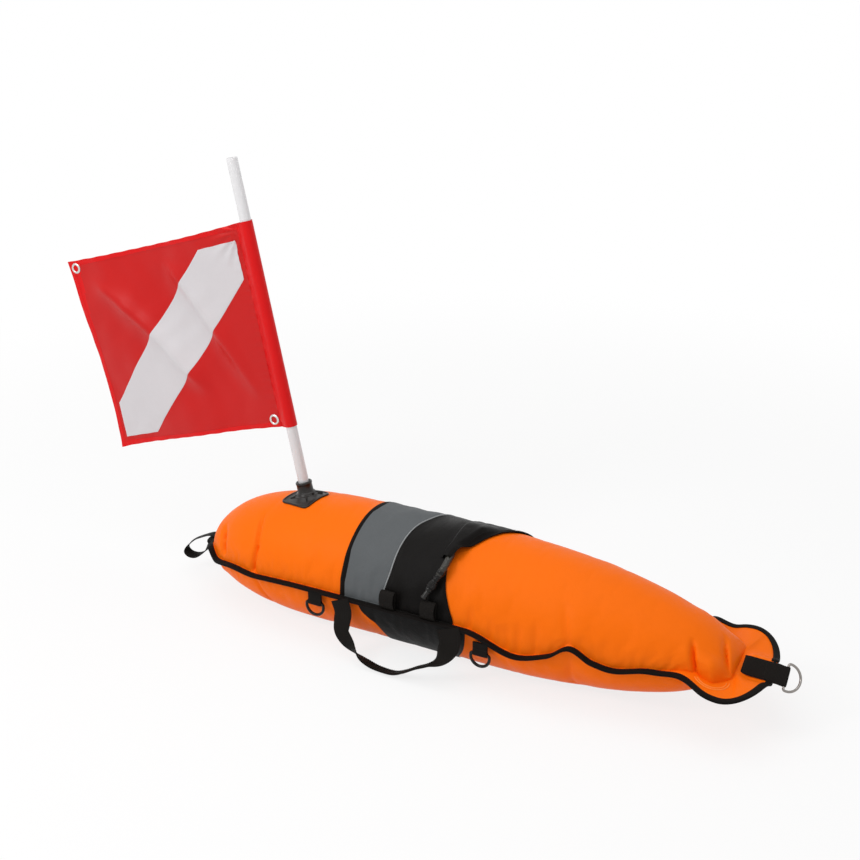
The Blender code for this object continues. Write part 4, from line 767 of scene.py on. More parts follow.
def add_strap(name: str, path: Array, sections: Array, body: str = "float") -> None:
    """A strap of black webbing from its line and its sections."""
    add_piece(name, swept(sections, uv=sweep_uv(path, sections[0])), WEBBED, body)


def sew(
    name: str, line: Array, up: Array | Triple, stitch: Stitch, finish: Finish = THREAD, body: str = "float"
) -> bpy.types.Object:
    """A row of stitches as a piece of its own."""
    return add_piece(name, stitches(line, up, stitch), finish, body)


# ---------------------------------------------------------------- the air chamber's shape

DEGREE_LENGTH = radians(1.0) * 0.105


@dataclass(frozen=True)
class Fold:
    """A crease or swell of the cover: a line on it, how deep it is and how wide.

    The line runs from one (x, degrees round the chamber) to another. Off the line the fold
    dies away as exp(-(distance / width)^1.5), and it fades in along the first part of its length.
    """

    start: Pair
    end: Pair
    depth: float
    width: float
    sides: tuple[Side, ...] = (Side.NEAR,)

    def stand(self, x: Array, degrees: Array, above: Array) -> Array:
        """How far the fold stands off the smooth form.

        Args:
            x: places along the float.
            degrees: how far up from the fold's own side, negative below the seam.
            above: 1 on the upper cover, -1 on the lower one.

        Returns:
            Heights in metres.
        """
        start, end = (np.array(point) * (1.0, DEGREE_LENGTH) for point in (self.start, self.end))
        length = float(np.linalg.norm(end - start))
        way = (end - start) / length
        dx, dt = x - start[0], degrees * DEGREE_LENGTH - start[1]
        along = (dx * way[0] + dt * way[1]) / length
        reach = np.clip(along, 0, 1) * length
        off = np.hypot(dx - reach * way[0], dt - reach * way[1])
        held = above * self.start[1] > 0
        return self.depth * held * eased(along, -0.15, 0.45) * np.exp(-((off / self.width) ** 1.5))


FOLDS = (
    Fold((-0.4440, 48), (-0.4290, 10), -0.0125, 0.0044),
    Fold((-0.3600, 60), (-0.3490, 24), -0.0060, 0.0040),
    Fold((-0.3490, 28), (-0.3512, 2), -0.0070, 0.0040),
    Fold((-0.348, -2), (-0.335, -40), -0.0040, 0.0060),
    Fold((0.204, 42), (0.221, 3), -0.0034, 0.0070),
    Fold((0.223, -3), (0.219, -46), -0.0034, 0.0060),
    Fold((0.060, 20), (0.061, 2), -0.0022, 0.0050),
    Fold((0.094, 17), (0.096, 2), -0.0018, 0.0045),
    Fold((0.109, 16), (0.111, 2), -0.0024, 0.0045),
    Fold((0.121, 18), (0.122, 2), -0.0024, 0.0045),
    Fold((0.139, 22), (0.141, 2), -0.0028, 0.0050),
    Fold((0.166, 26), (0.169, 2), -0.0030, 0.0060),
    Fold((0.3935, 52), (0.4085, 0), -0.0125, 0.0036),
    Fold((0.4300, 98), (0.4530, 18), -0.0120, 0.0038),
    Fold((0.4270, 44), (0.4340, 0), 0.0130, 0.0200),
    Fold((-0.440, 58), (-0.430, 14), -0.0034, 0.0060, (Side.FAR,)),
    Fold((-0.330, 48), (-0.325, 2), -0.0036, 0.0065, (Side.FAR,)),
    Fold((0.120, 34), (0.128, 2), -0.0034, 0.0065, (Side.FAR,)),
    Fold((0.243, 38), (0.240, 2), -0.0034, 0.0065, (Side.FAR,)),
    Fold((0.392, 50), (0.404, 4), -0.0060, 0.0070, (Side.FAR,)),
    Fold((-0.342, -50), (-0.338, -3), -0.0036, 0.0065, (Side.FAR,)),
    Fold((0.230, -48), (0.226, -3), -0.0034, 0.0065, (Side.FAR,)),
    Fold((0.392, -52), (0.402, -4), -0.0050, 0.0070, (Side.NEAR, Side.FAR)),
)


@dataclass
class Chamber:
    """The inflated body: every other piece is laid on the surface that this class works out.

    Angles run round the chamber from the near seam (0) over the crown (90 degrees) to the far
    seam (180), and below the seam from -0 to -180 in the same way.
    """

    half_width: float = 0.1135
    crown: float = 0.1080
    belly: float = 0.1050
    seam: float = 0.1005
    stern_shoulder: float = -0.190
    stern_end: float = -0.487
    stern_rounding: float = 2.75
    stern_end_half: float = 0.014
    stern_drop: float = 0.006
    bow_shoulder: float = 0.030
    bow_end: float = 0.456
    bow_cone: float = 0.38
    bow_cone_curve: float = 1.8
    bow_rounding: float = 4.5
    bow_end_half: float = 0.034
    bow_drop: float = 0.0105
    cover: float = 0.0008
    flange: float = 0.0115
    stern_tip: float = -0.511
    tab_half: float = 0.025
    tab_corner: float = 0.012
    bow_tip: float = 0.5095
    paddle_half: float = 0.105
    paddle_start: float = 0.352
    paddle_full: float = 0.440
    paddle_corner: float = 1.9
    flat_edge: float = 0.0095
    pinch_height: float = 0.0110
    pinch_width: float = 0.0140
    pinch_start: float = 0.4540
    pinch_full: float = 0.4760
    waves: tuple[tuple[float, float, float, float], ...] = (
        (0.140, -0.0225, -0.0225, 0.085), (0.226, 0.0140, 0.0140, 0.034),
        (0.292, -0.0090, -0.0060, 0.052), (0.392, 0.0050, 0.0150, 0.036),
        (0.455, -0.0065, 0.0085, 0.052), (-0.499, -0.0155, -0.0155, 0.250),
        (-0.474, 0.0120, 0.0, 0.030), (-0.400, 0.0060, 0.0, 0.060),
    )
    swell: "Swell | None" = None

    @property
    def skin(self) -> float:
        """Height of the fabric's outer face over the seam's middle."""
        return GAP / 2 + self.cover

    @property
    def over_tape(self) -> float:
        """Height of a strap's middle over the seam's middle, where it is sewn on the tape."""
        return self.skin + 2 * GAP + TAPE_THICK + WEBBING_THICK / 2

    def stern_share(self, x: Array, grow: float = 0.0) -> Array:
        """How far x is from the stern shoulder to the stern end, 0 to 1."""
        return np.clip((self.stern_shoulder - x) / (self.stern_shoulder - self.stern_end + grow), 0.0, 1.0)

    def bow_share(self, x: Array, grow: float = 0.0) -> Array:
        """How far x is from the bow shoulder to the bow end, 0 to 1."""
        return np.clip((x - self.bow_shoulder) / (self.bow_end + grow - self.bow_shoulder), 0.0, 1.0)

    def fullness(self, x: Array, grow: float = 0.0) -> tuple[Array, Array]:
        """The slow taper to the bow, and the closing of both ends as a superellipse.

        Args:
            x: places along the float.
            grow: how far both ends move outwards.

        Returns:
            (taper, closing), each from 0 to 1.
        """
        taper = 1 - self.bow_cone * self.bow_share(x) ** self.bow_cone_curve
        stern, bow = self.stern_share(x, grow), self.bow_share(x, grow)
        return taper, np.sqrt((1 - stern**self.stern_rounding) * (1 - bow**self.bow_rounding))

    def half(self, x: Array, grow: float = 0.0) -> Array:
        """Half width: end half + (half width x taper - end half) x closing."""
        taper, closing = self.fullness(x, grow)
        end_half = np.where(x < 0, self.stern_end_half, self.bow_end_half)
        return end_half + (self.half_width * taper + grow - end_half) * closing

    def rise(self, x: Array, cover: Cover, grow: float = 0.0) -> Array:
        """Height of the crown over the seam, or depth of the belly under it."""
        taper, closing = self.fullness(x, grow)
        return ((self.crown if cover is Cover.UPPER else self.belly) * taper + grow) * closing

    def seam_height(self, x: Array) -> Array:
        """Height of the seam before its waves."""
        drop = self.stern_drop * eased(self.stern_share(x), 0.0, 1.0)
        return self.seam - drop - self.bow_drop * self.bow_share(x)

    def seam_wave(self, x: Array, side: Level = -1.0) -> Array:
        """The sewn edge's waves: each a bump s^2 (3 - 2s), its rise blended from near to far."""
        wave = 0.0 * x
        for middle, near_rise, far_rise, reach in self.waves:
            close = np.clip(1 - np.abs(x - middle) / reach, 0.0, 1.0)
            rise = near_rise + (far_rise - near_rise) * (1 + side) / 2
            wave = wave + rise * close * close * (3 - 2 * close)
        return wave

    def gathered(self, x: Array, angle: Array) -> Array:
        """The waves' rise round the chamber: whole at the seam, none on the crown."""
        closing = self.fullness(x)[1]
        return self.seam_wave(x, -np.cos(angle)) * (1 - closing * np.abs(np.sin(angle))) ** 2

    def outline(self, x: Array) -> Array:
        """Half width of the sewn edge: round the chamber, out to the bow paddle, and the stern tab."""
        along = self.half(x, self.flange)
        paddle = eased(x, self.paddle_start, self.paddle_full)
        along = along * (1 - paddle) + self.paddle_half * paddle
        corner = np.clip((x - self.paddle_full) / (self.bow_tip + 0.0005 - self.paddle_full), 0.0, 1.0)
        along = along * (1 - corner**3) ** (1 / self.paddle_corner)
        share = np.clip((self.stern_tip + self.tab_corner - x) / (self.tab_corner + 0.0005), 0.0, 1.0)
        tab = self.tab_half * (1 - share**4) ** 0.5
        return np.where(x < 0, np.maximum(along * (x > self.stern_end - self.flange), tab), along)

    def root(self, x: Array) -> Array:
        """Half width at the foot of the arch, opening past the ends into the flat flange."""
        opened = np.maximum(
            eased(x, self.bow_end, self.bow_end + 0.018), eased(-x, -self.stern_end, 0.010 - self.stern_end)
        )
        edge = self.outline(x)
        return self.half(x) * (1 - opened) + np.maximum(edge - self.flat_edge, 0.25 * edge) * opened

    def pinch(self, x: Array, y: Array) -> Array:
        """The fold under the bow strap: h (y / w) exp(1/2 - (y / w)^2 / 2), growing towards the tip."""
        share = y / self.pinch_width
        grown = eased(x, self.pinch_start, self.pinch_full)
        return self.pinch_height * share * np.exp(0.5 - 0.5 * share**2) * grown

    def relief(self, x: Array, angle: Array) -> Array:
        """How far the cover stands off its smooth form: a fine ripple at the seam, the folds and the swell.

        Args:
            x: places along the float.
            angle: places round it, in radians, negative below the seam.

        Returns:
            Height off the smooth form, in metres.
        """
        x, angle = np.broadcast_arrays(x, angle)
        degrees = np.degrees(np.abs(angle))
        above = np.copysign(1.0, angle)
        near_seam = np.exp(-np.minimum(degrees, 180 - degrees) / 9.0)
        total = 0.0005 * np.sin(x * 310 + 1.3 * np.sin(x * 97)) * near_seam
        for fold in FOLDS:
            for side in fold.sides:
                turned_by = degrees if side is Side.NEAR else 180 - degrees
                total = total + fold.stand(x, above * turned_by, above)
        if self.swell is not None:
            total = total + self.swell.read(x, angle)
        return total * eased(self.fullness(x)[1], 0.05, 0.45)

    def over(self, x: Array, angle: Array, lift: Level = 0.0) -> Array:
        """Points on the covers, lifted off them.

        y = -(half + lift) cos(angle); z = seam + waves +- fabric + (rise + lift) sin(angle).

        Args:
            x: places along the float.
            angle: places round it, in radians, negative below the seam.
            lift: height off the outside of the fabric.

        Returns:
            Grid of points.
        """
        x, angle = np.broadcast_arrays(np.asarray(x, float), np.asarray(angle, float))
        lift = lift + self.relief(x, angle)
        above = np.copysign(1.0, angle)
        high = np.where(above > 0, self.rise(x, Cover.UPPER), self.rise(x, Cover.LOWER))
        z = self.seam_height(x) + self.gathered(x, angle) + above * self.skin + (high + lift) * np.sin(angle)
        return xyz(x, -(self.half(x) + lift) * np.cos(angle), z)

    def stations(self, step: float = 0.0035) -> Array:
        """Places along the float, crowded where the chamber rounds off and at the flange's tips."""
        stern_fine, bow_fine = self.stern_end + 0.155, self.bow_end - 0.110
        middle = np.concatenate([
            np.arange(self.stern_end + 0.06, stern_fine, step * 0.6), np.arange(stern_fine, bow_fine, step),
            np.arange(bow_fine, self.bow_end - 0.05, step * 0.45),
        ])
        squares = np.linspace(0, 1, 22) ** 2
        stern = self.stern_end + 0.06 * squares[:-1]
        bow = self.bow_end - 0.05 * squares[-2::-1]
        stern_flange = np.concatenate([
            self.stern_tip + 0.008 * np.linspace(0, 1, 8) ** 2,
            np.linspace(self.stern_end - self.flange + 0.0002, self.stern_end, 8)[:-1],
        ])
        bow_flange = np.concatenate([
            np.linspace(self.bow_end, self.bow_tip - 0.012, 22)[1:],
            self.bow_tip - 0.012 * np.linspace(1, 0, 14)[1:] ** 2,
        ])
        return np.unique(np.round(np.concatenate([stern_flange, stern, middle, bow, bow_flange]), 7))

    def cover_grid(self, cover: Cover, depth: float, columns: int = 97) -> tuple[Array, Array]:
        """One side of a cover: flange, arch, flange, at a depth into the fabric.

        Args:
            cover: upper or lower.
            depth: how far inside the fabric's outer face.
            columns: points round the arch.

        Returns:
            Grid of points, and their places on the cloth in metres.
        """
        x = self.stations()[:, None]
        turn = np.linspace(0, pi, columns)[None, :]
        inner = depth * (self.half(x) > self.bow_end_half)
        relief = self.relief(x, np.copysign(np.maximum(turn, 1e-9), cover.value) + 0 * x)
        y = -(self.root(x) - inner + relief) * np.cos(turn)
        high = (self.rise(x, cover) + relief * eased(self.fullness(x)[1], 0, 0.2)) * np.sin(turn)
        base = self.skin - depth
        z = self.seam_height(x) + cover.value * (base + high) + self.gathered(x, turn) + self.pinch(x, y)
        if cover is Cover.LOWER:
            z = np.maximum(z, depth + 0.0001)
        middle = (self.stern_tip + self.bow_tip) / 2
        place = middle + (x - middle) * (1 - 2 * depth / (self.bow_tip - self.stern_tip))
        arch = xyz(place, y, z)
        x, skirts = x[:, 0], []
        for column, side in ((0, Side.NEAR), (-1, Side.FAR)):
            foot = arch[:, column]
            level = self.seam_height(x) + self.seam_wave(x, side.value) + cover.value * base
            steps = []
            for share in (0.35, 0.70, 1.0):
                reach = foot[:, 1] * (1 - share) + side.value * self.outline(x) * share
                steps.append(xyz(foot[:, 0], reach, level + self.pinch(x, reach)))
            skirts.append(np.stack(steps[::side.value], axis=1))
        grid = np.concatenate([skirts[0], arch, skirts[1]], axis=1)
        across = np.linalg.norm(np.diff(grid, axis=1, prepend=grid[:, :1]), axis=-1)
        girth = np.cumsum(across, axis=1)
        girth = girth - girth[:, [girth.shape[1] // 2]]
        return grid, np.stack(np.broadcast_arrays(girth, x[:, None]), axis=-1)


@dataclass
class Swell:
    """What Cloth finds when the cover is blown up: a height off the smooth form on a grid."""

    places: Array
    turns: Array
    heights: Array

    def read(self, x: Array, angle: Array) -> Array:
        """The height at places, linear between grid points.

        Args:
            x: places along the float.
            angle: places round it, in radians.

        Returns:
            Heights in metres.
        """
        around = np.where(np.copysign(1.0, angle) > 0, np.abs(angle), 2 * pi - np.abs(angle))
        rows, columns = len(self.places), len(self.turns)
        row = np.clip(np.interp(x, self.places, np.arange(rows)), 0, rows - 1.001)
        column = np.clip(around / (2 * pi) * (columns - 1), 0, columns - 1.001)
        i, j = row.astype(int), column.astype(int)
        a, b = row - i, column - j
        low, high = (self.heights[k, j] * (1 - b) + self.heights[k, j + 1] * b for k in (i, i + 1))
        return low * (1 - a) + high * a


HULL = Chamber()


def hinge_place(joint: str) -> Vector:
    """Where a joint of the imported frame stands."""
    return next(Vector(j["pos_m"]) for j in frame["joints"] if j["name"] == joint)


# ---------------------------------------------------------------- covers and bladder


@dataclass
class Covers:
    """The orange cover's halves, blown up by Cloth, with the weld beads at the bow and the bladder inside."""

    hull: Chamber
    rows: int = 176
    columns: int = 96
    pressure: float = 4.0
    excess: float = 0.035
    frames: int = 20
    smoothing: int = 12
    cap: float = 0.0030
    taut: float = 0.16
    gathers: float = 0.42
    bladder_depth: float = 0.0060

    def make_skin(self, rest: Array) -> bpy.types.Object:
        """A closed skin through a grid of points, held at the seam and at both ends, with Cloth on it."""
        number = np.arange(self.rows * self.columns).reshape(self.rows, self.columns)
        wrapped = np.concatenate([number, number[:, :1]], axis=1)
        quads = np.stack([wrapped[:-1, :-1], wrapped[:-1, 1:], wrapped[1:, 1:], wrapped[1:, :-1]], axis=-1)
        faces = quads.reshape(-1, 4).tolist() + [number[0].tolist(), number[-1, ::-1].tolist()]
        mesh = bpy.data.meshes.new("skin")
        mesh.from_pydata(rest.reshape(-1, 3).tolist(), [], faces)
        form = bmesh.new()
        form.from_mesh(mesh)
        bmesh.ops.recalc_face_normals(form, faces=form.faces)
        form.to_mesh(mesh)
        form.free()
        skin = add_object("skin", mesh)
        held = [number[:, 0], number[:, self.columns // 2], number[:2].ravel(), number[-2:].ravel()]
        skin.vertex_groups.new(name="sewn").add(np.unique(np.concatenate(held)).tolist(), 1.0, "REPLACE")
        cloth = skin.modifiers.new("cloth", "CLOTH")
        for key, value in {
            "quality": 4, "mass": 0.25, "vertex_group_mass": "sewn", "tension_stiffness": 22.0,
            "compression_stiffness": 22.0, "shear_stiffness": 12.0, "bending_stiffness": 0.35,
            "shrink_min": -self.excess, "use_pressure": True, "uniform_pressure_force": self.pressure,
        }.items():
            setattr(cloth.settings, key, value)
        cloth.settings.effector_weights.gravity = 0.0
        cloth.collision_settings.use_collision = False
        cloth.point_cache.frame_end = self.frames
        return skin

    def blow_up(self) -> None:
        """Runs Cloth on a closed skin of the chamber, held at the seam, and keeps what it finds.

        The skin is a grid over the covers, a little too big for its seam, under pressure and
        without gravity. What is kept is each point's move square to the smooth form, less its
        running mean along the float, capped and eased off away from the seam: the puckers where
        the cloth is gathered, and not the growth.
        """
        scene = bpy.context.scene
        x = np.linspace(self.hull.stern_end + 0.006, self.hull.bow_end - 0.004, self.rows)
        turns = np.linspace(0, 2 * pi, self.columns + 1)
        angle = np.where(turns <= pi, turns, turns - 2 * pi)[:-1]
        rest = self.hull.over(x[:, None], angle[None, :])
        skin = self.make_skin(rest)
        for step in range(1, self.frames + 1):
            scene.frame_set(step)
        blown = skin.evaluated_get(bpy.context.evaluated_depsgraph_get()).to_mesh()
        moved = np.zeros(len(blown.vertices) * 3, np.float32)
        blown.vertices.foreach_get("co", moved)
        out = unit(xyz(0.0, rest[..., 1], rest[..., 2] - self.hull.seam_height(x)[:, None]))
        height = ((moved.reshape(rest.shape) - rest) * out).sum(axis=-1)
        window = np.hanning(2 * self.smoothing + 1)
        longer = np.pad(height, ((self.smoothing, self.smoothing), (0, 0)), mode="edge")
        mean = np.stack([np.convolve(line, window / window.sum(), "valid") for line in longer.T], axis=1)
        near_seam = 1.0 - eased(np.abs(np.sin(angle)), 0.20, 0.70)
        heights = np.clip(height - mean, -self.cap, self.cap) * (self.taut + self.gathers * near_seam)
        self.hull.swell = Swell(x, turns, np.concatenate([heights, heights[:, :1]], axis=1))
        report.info("cover blown up: puckers up to %.1f mm", 1000 * float(np.abs(heights).max()))
        bpy.data.objects.remove(skin, do_unlink=True)
        scene.frame_set(1)

    def build(self) -> None:
        """The two fabric halves, each a closed sheet from flange edge to flange edge."""
        self.blow_up()
        for cover in Cover:
            outer, uv = self.hull.cover_grid(cover, 0.0)
            inner = self.hull.cover_grid(cover, self.hull.cover)[0]
            made = add_piece(f"cover_{cover.name.lower()}", cloth_shell(outer, inner, uv), ORANGE, sharp=60)
        self.build_bladder()
        self.build_welds()

    def build_bladder(self) -> None:
        """The bladder: the covers' form drawn in all round, its ends gathered to a point."""
        x = np.linspace(self.hull.stern_end + 0.012, self.hull.bow_end - 0.010, 60)
        turns = np.linspace(0, 2 * pi, 49)
        angle = np.where(turns <= pi, turns, turns - 2 * pi)
        drawn_in = 0.0080 * eased(np.abs(x + 0.02), 0.30, 0.36)[:, None]
        grid = self.hull.over(x[:, None], angle[None, :], -self.bladder_depth - drawn_in)
        grid[..., 2] = np.maximum(grid[..., 2], 0.003)
        grid = pointed(grid)
        add_piece("inner_bladder", swept(grid, False, grid[..., :2]), FILM)

    def build_welds(self) -> None:
        """Two rounded weld beads round the near corner of the bow, where the chamber's end is closed, in a
        lighter orange that paints a highlight along them.
        """
        turn = np.linspace(-0.80 * pi, 0.08 * pi, 60)
        ends = np.sqrt(1 - np.linspace(-0.98, 0.98, len(turn)) ** 6)
        for number, grow in enumerate((0.0, 0.0042)):
            x = 0.4300 + (0.0225 + grow) * np.cos(turn)
            y = -0.0565 + (0.0205 + grow) * np.sin(turn)
            level = self.hull.seam_height(x) + self.hull.seam_wave(x) + self.hull.pinch(x, y)
            path = xyz(x, y, level + self.hull.skin + 0.0002)
            sections = round_bar(path, 0.0010 * ends, 8, (0, 0, 1))
            around = round_bar(path, 0.0006, 8, (0, 0, 1))[0]
            add_piece(f"weld_bead_{number + 1}", swept(sections, uv=sweep_uv(path, around)), WELD_PAINTED_HIGHLIGHT)


# ---------------------------------------------------------------- seam binding


@dataclass
class SeamBinding:
    """Black tape folded over the sewn edge and stitched through, all the way round."""

    hull: Chamber
    tape: float = 0.0011
    leg: float = 0.0092
    puff: float = 0.0005
    row_inset: float = 0.0018
    stitch: Stitch = Stitch(0.0024, 0.0032, 0.0005)

    def edge(self) -> tuple[Array, Array, Array]:
        """The sewn edge in plan, stern to bow on the near side and back on the far one.

        Returns:
            Points of the edge at z = 0, the outward direction at each, and the side of each.
        """
        x = self.hull.stations(0.005)
        reach = self.hull.outline(x)
        path = np.concatenate([xyz(x, -reach, 0.0), xyz(x, reach, 0.0)[::-1]])
        side = np.sign(path[:, 1])
        ahead = unit(np.roll(path, -1, axis=0) - np.roll(path, 1, axis=0))
        return path, unit(xyz(ahead[:, 1], -ahead[:, 0], 0.0)), side

    def level(self, x: Array, y: Array, side: Array) -> Array:
        """Height of the flange under the tape."""
        x = np.clip(x, self.hull.stern_tip, self.hull.bow_tip)
        return self.hull.seam_height(x) + self.hull.seam_wave(x, side) + self.hull.pinch(x, y)

    def build(self) -> None:
        """A U section carried round the edge, and a row of stitches on both faces."""
        path, out, side = self.edge()
        inside = self.hull.skin + GAP
        outside = inside + self.tape
        nose = [(GAP + self.tape * cos(a), outside * sin(a)) for a in np.linspace(pi / 2, -pi / 2, 7)]
        top = [(-self.leg, inside), (-self.leg - 0.0002, outside - 0.0004), (-self.leg + 0.0006, outside)]
        top += [(-0.7 * self.leg, outside + 0.2 * self.puff), (-0.35 * self.leg, outside + self.puff)]
        low = [(s, -t) for s, t in top[::-1]]
        section = np.array(top + nose + low + [(GAP, -inside), (GAP, inside), (-self.leg, inside)])
        rings = path[:, None, :] + out[:, None, :] * section[None, :, :1]
        level = self.level(rings[..., 0], rings[..., 1], side[:, None] + 0 * rings[..., 0])
        rings[..., 2] = level + section[None, :, 1]
        rings = np.concatenate([rings, rings[:1]])
        fold = rings[:, len(top) + 4]
        add_piece("seam_binding", swept(rings, False, sweep_uv(fold, section)), TAPE, sharp=50)
        x, y = (np.append(line, line[0]) for line in (path - out * (self.leg - self.row_inset)).T[:2])
        for name, way in (("upper", 1.0), ("lower", -1.0)):
            z = self.level(x, y, np.append(side, side[0])) + way * (outside + ON_CLOTH)
            sew(f"binding_stitch_{name}", xyz(x, y, z), (0, 0, way), self.stitch)


# ---------------------------------------------------------------- bands round the middle


PIPING_LINE = ((0.0, -0.0950), (30.0, -0.0870), (70.0, -0.0815), (110.0, -0.0600), (180.0, -0.0600))
BLACK_EDGE = (
    (0.0, 0.0320), (16.0, 0.0222), (27.4, 0.0135), (36.9, 0.0089), (45.3, 0.0055),
    (52.5, 0.0048), (60.0, 0.0062), (72.0, 0.0060), (180.0, -0.0050),
)
FLAP_FOLD = (
    (45.0, -0.0131), (52.5, -0.0115), (60.5, -0.0092), (70.7, -0.0084), (82.0, -0.0069), (180.0, -0.0090),
)
FLAP_EDGE = (
    (52.0, 0.0125), (56.0, 0.0140), (60.0, 0.0172), (64.0, 0.0214), (68.7, 0.0290), (76.0, 0.0365),
    (83.0, 0.0430), (94.5, 0.0540), (110.0, 0.0680), (130.0, 0.0800), (180.0, 0.0860),
)
PATCH_STERN = ((0.0, -0.1400), (9.0, -0.1340), (21.0, -0.1130), (60.0, -0.1020))
PATCH_BOW = ((0.0, 0.0540), (18.0, 0.0500), (60.0, 0.0200))
PORT_SIDE_X = 0.0120
MOUTH_X = 0.0065


@dataclass
class Bands:
    """Grey panel, its edge tape, reflective piping, black panel, flap and lower patch."""

    hull: Chamber
    panel: float = 0.0008
    foot: float = 0.0030
    grey_edge: float = -0.1685
    tape_width: float = 0.0090
    tape_thick: float = 0.0015
    tape_edge: float = 0.0010
    piping_width: float = 0.0021
    piping_thick: float = 0.0022
    piping_edge: float = 0.0006
    hem_tape: float = 0.0009
    flap_start: float = 52.5
    mouth_rise: float = 0.0020
    mouth_narrowing: float = 0.0040
    mouth_turns: Pair = (63.0, 54.0)
    bulge: float = 0.0118
    bulge_stern: float = 0.0200
    bulge_bow: float = 0.0400
    patch_bottom: float = 58.0
    stitch: Stitch = Stitch(0.0026, 0.0036, 0.0005)

    def slack(self, x: Array, angle: Array) -> Array:
        """Soft diagonal folds where a panel is not drawn tight: two crossed waves, none at the seams."""
        degrees = np.degrees(np.abs(angle))
        folds = np.sin(x * 150 + degrees * 0.16 + 0.8) * 0.6 + np.sin(x * 64 - degrees * 0.11) * 0.8
        drawn = 1 - eased(x, -0.022, -0.010)
        return 0.0006 * (1 + folds) * eased(np.minimum(degrees, 180 - degrees), 2, 30) * drawn

    def hood(self, x: Array, angle: Array) -> Array:
        """How far the flap stands off: a hood over the port, open towards the hose."""
        degrees = np.degrees(angle)
        inside = eased(degrees, 58.0, 68.0)
        away = x - MOUTH_X - (PORT_SIDE_X - MOUTH_X) * inside
        stern_reach = self.bulge_stern - self.mouth_narrowing * (1 - inside)
        across = eased(1 - np.abs(away) / np.where(away < 0, stern_reach, self.bulge_bow), 0.0, 0.55)
        sewn = eased(faired(FLAP_EDGE, degrees) - x, 0.0, 0.016)
        closed = 1 - (1 - sewn) * eased(degrees, 60.0, 70.0)
        crumple = 0.0004 * (np.sin(x * 180 + degrees * 0.17) + np.sin(x * 90 - degrees * 0.25 + 1.0))
        crumple = crumple * hump(degrees, 60, 76, 120, 165)
        bulge = self.bulge + self.mouth_rise * (1 - inside)
        return bulge * across * closed * (1 - eased(degrees, 84.0, 110.0)) + np.abs(crumple)

    def band(
        self,
        name: str,
        finish: Finish,
        edges: tuple[Sequence[Pair], Sequence[Pair]],
        thick: float,
        limits: Pair = (0.0, 180.0),
        cells: int = 20,
        raised: str = "",
        shift: Pair = (0.0, 0.0),
        cover: Cover = Cover.UPPER,
        crown: float = 0.0,
        body_lift: float = 0.0,
    ) -> Array:
        """A fabric band over a cover between two edge lines given as x at each degree.

        Where it starts or ends at the seam it has a foot that lies on the flange up to the tape.

        Args:
            name: the piece's name.
            finish: its cloth.
            edges: stations of its stern and bow edges.
            thick: thickness.
            limits: degrees round the chamber where it starts and ends.
            cells: rows along the float.
            raised: "slack" or "hood" for the way it stands off the cover.
            shift: how far each edge is moved along X.
            cover: which cover it lies on.
            crown: how much its middle is thicker than its edges, as a cord or tape is.
            body_lift: extra height off the cover.

        Returns:
            The outer grid.
        """
        turns = np.radians(np.linspace(*limits, int(limits[1] - limits[0]) * 2 // 3))
        degrees = np.degrees(turns)
        share = np.linspace(0, 1, cells + 1)[:, None]
        left, right = faired(edges[0], degrees) + shift[0], faired(edges[1], degrees) + shift[1]
        x = left[None, :] + (right - left)[None, :] * share
        angle = turns[None, :] + 0 * x
        lift = body_lift + {"": 0 * x, "slack": self.slack(x, angle), "hood": self.hood(x, angle)}[raised]
        arch = np.sqrt(np.clip(1 - (2 * share - 1) ** 2, 0.0, 1.0)) * crown
        signed = np.copysign(np.maximum(angle, 1e-9), cover.value)
        at_seam = (degrees < 0.01) | (degrees > 179.99)
        sides = []
        for height in (SEWN_GAP + thick + arch + lift, SEWN_GAP + lift):
            side = self.hull.over(x, signed, height)
            side[:, at_seam, 2] += cover.value * (height + 0 * x)[:, at_seam]
            parts = [side]
            for column in np.flatnonzero(at_seam):
                foot = side[:, [column]]
                foot[..., 1] = np.sign(foot[..., 1]) * (self.hull.half(x[:, [column]]) + self.foot)
                parts = [foot] + parts if column == 0 else parts + [foot]
            sides.append(np.concatenate(parts, axis=1))
        outer, inner = sides
        walked = np.cumsum(np.linalg.norm(np.diff(outer, axis=1, prepend=outer[:, :1]), axis=-1), axis=1)
        form = cloth_shell(outer, inner, np.stack([walked, outer[..., 0]], axis=-1))
        hood = raised == "hood"
        made = add_piece(name, form, finish, "" if hood else "float", sharp=50)
        if hood:
            self.lift_lip(made)
        return outer

    def lift_lip(self, made: bpy.types.Object) -> None:
        """Bakes a piece of the hood into its mesh, on no body; the lip's two ends over the chamber are worked
        out but not used.
        """
        start, end = (self.hull.over(MOUTH_X, radians(a), 0.0125).ravel() for a in self.mouth_turns)
        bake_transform(made)

    def stitch_row(
        self, name: str, line: Array, finish: Finish, lift: float, body: str = "float"
    ) -> bpy.types.Object:
        """A row of stitches along a line on the cover."""
        up = unit(line * (0, 1, 1) - (0, 0, self.hull.seam))
        return sew(name, line + up * lift, up, self.stitch, finish, body)

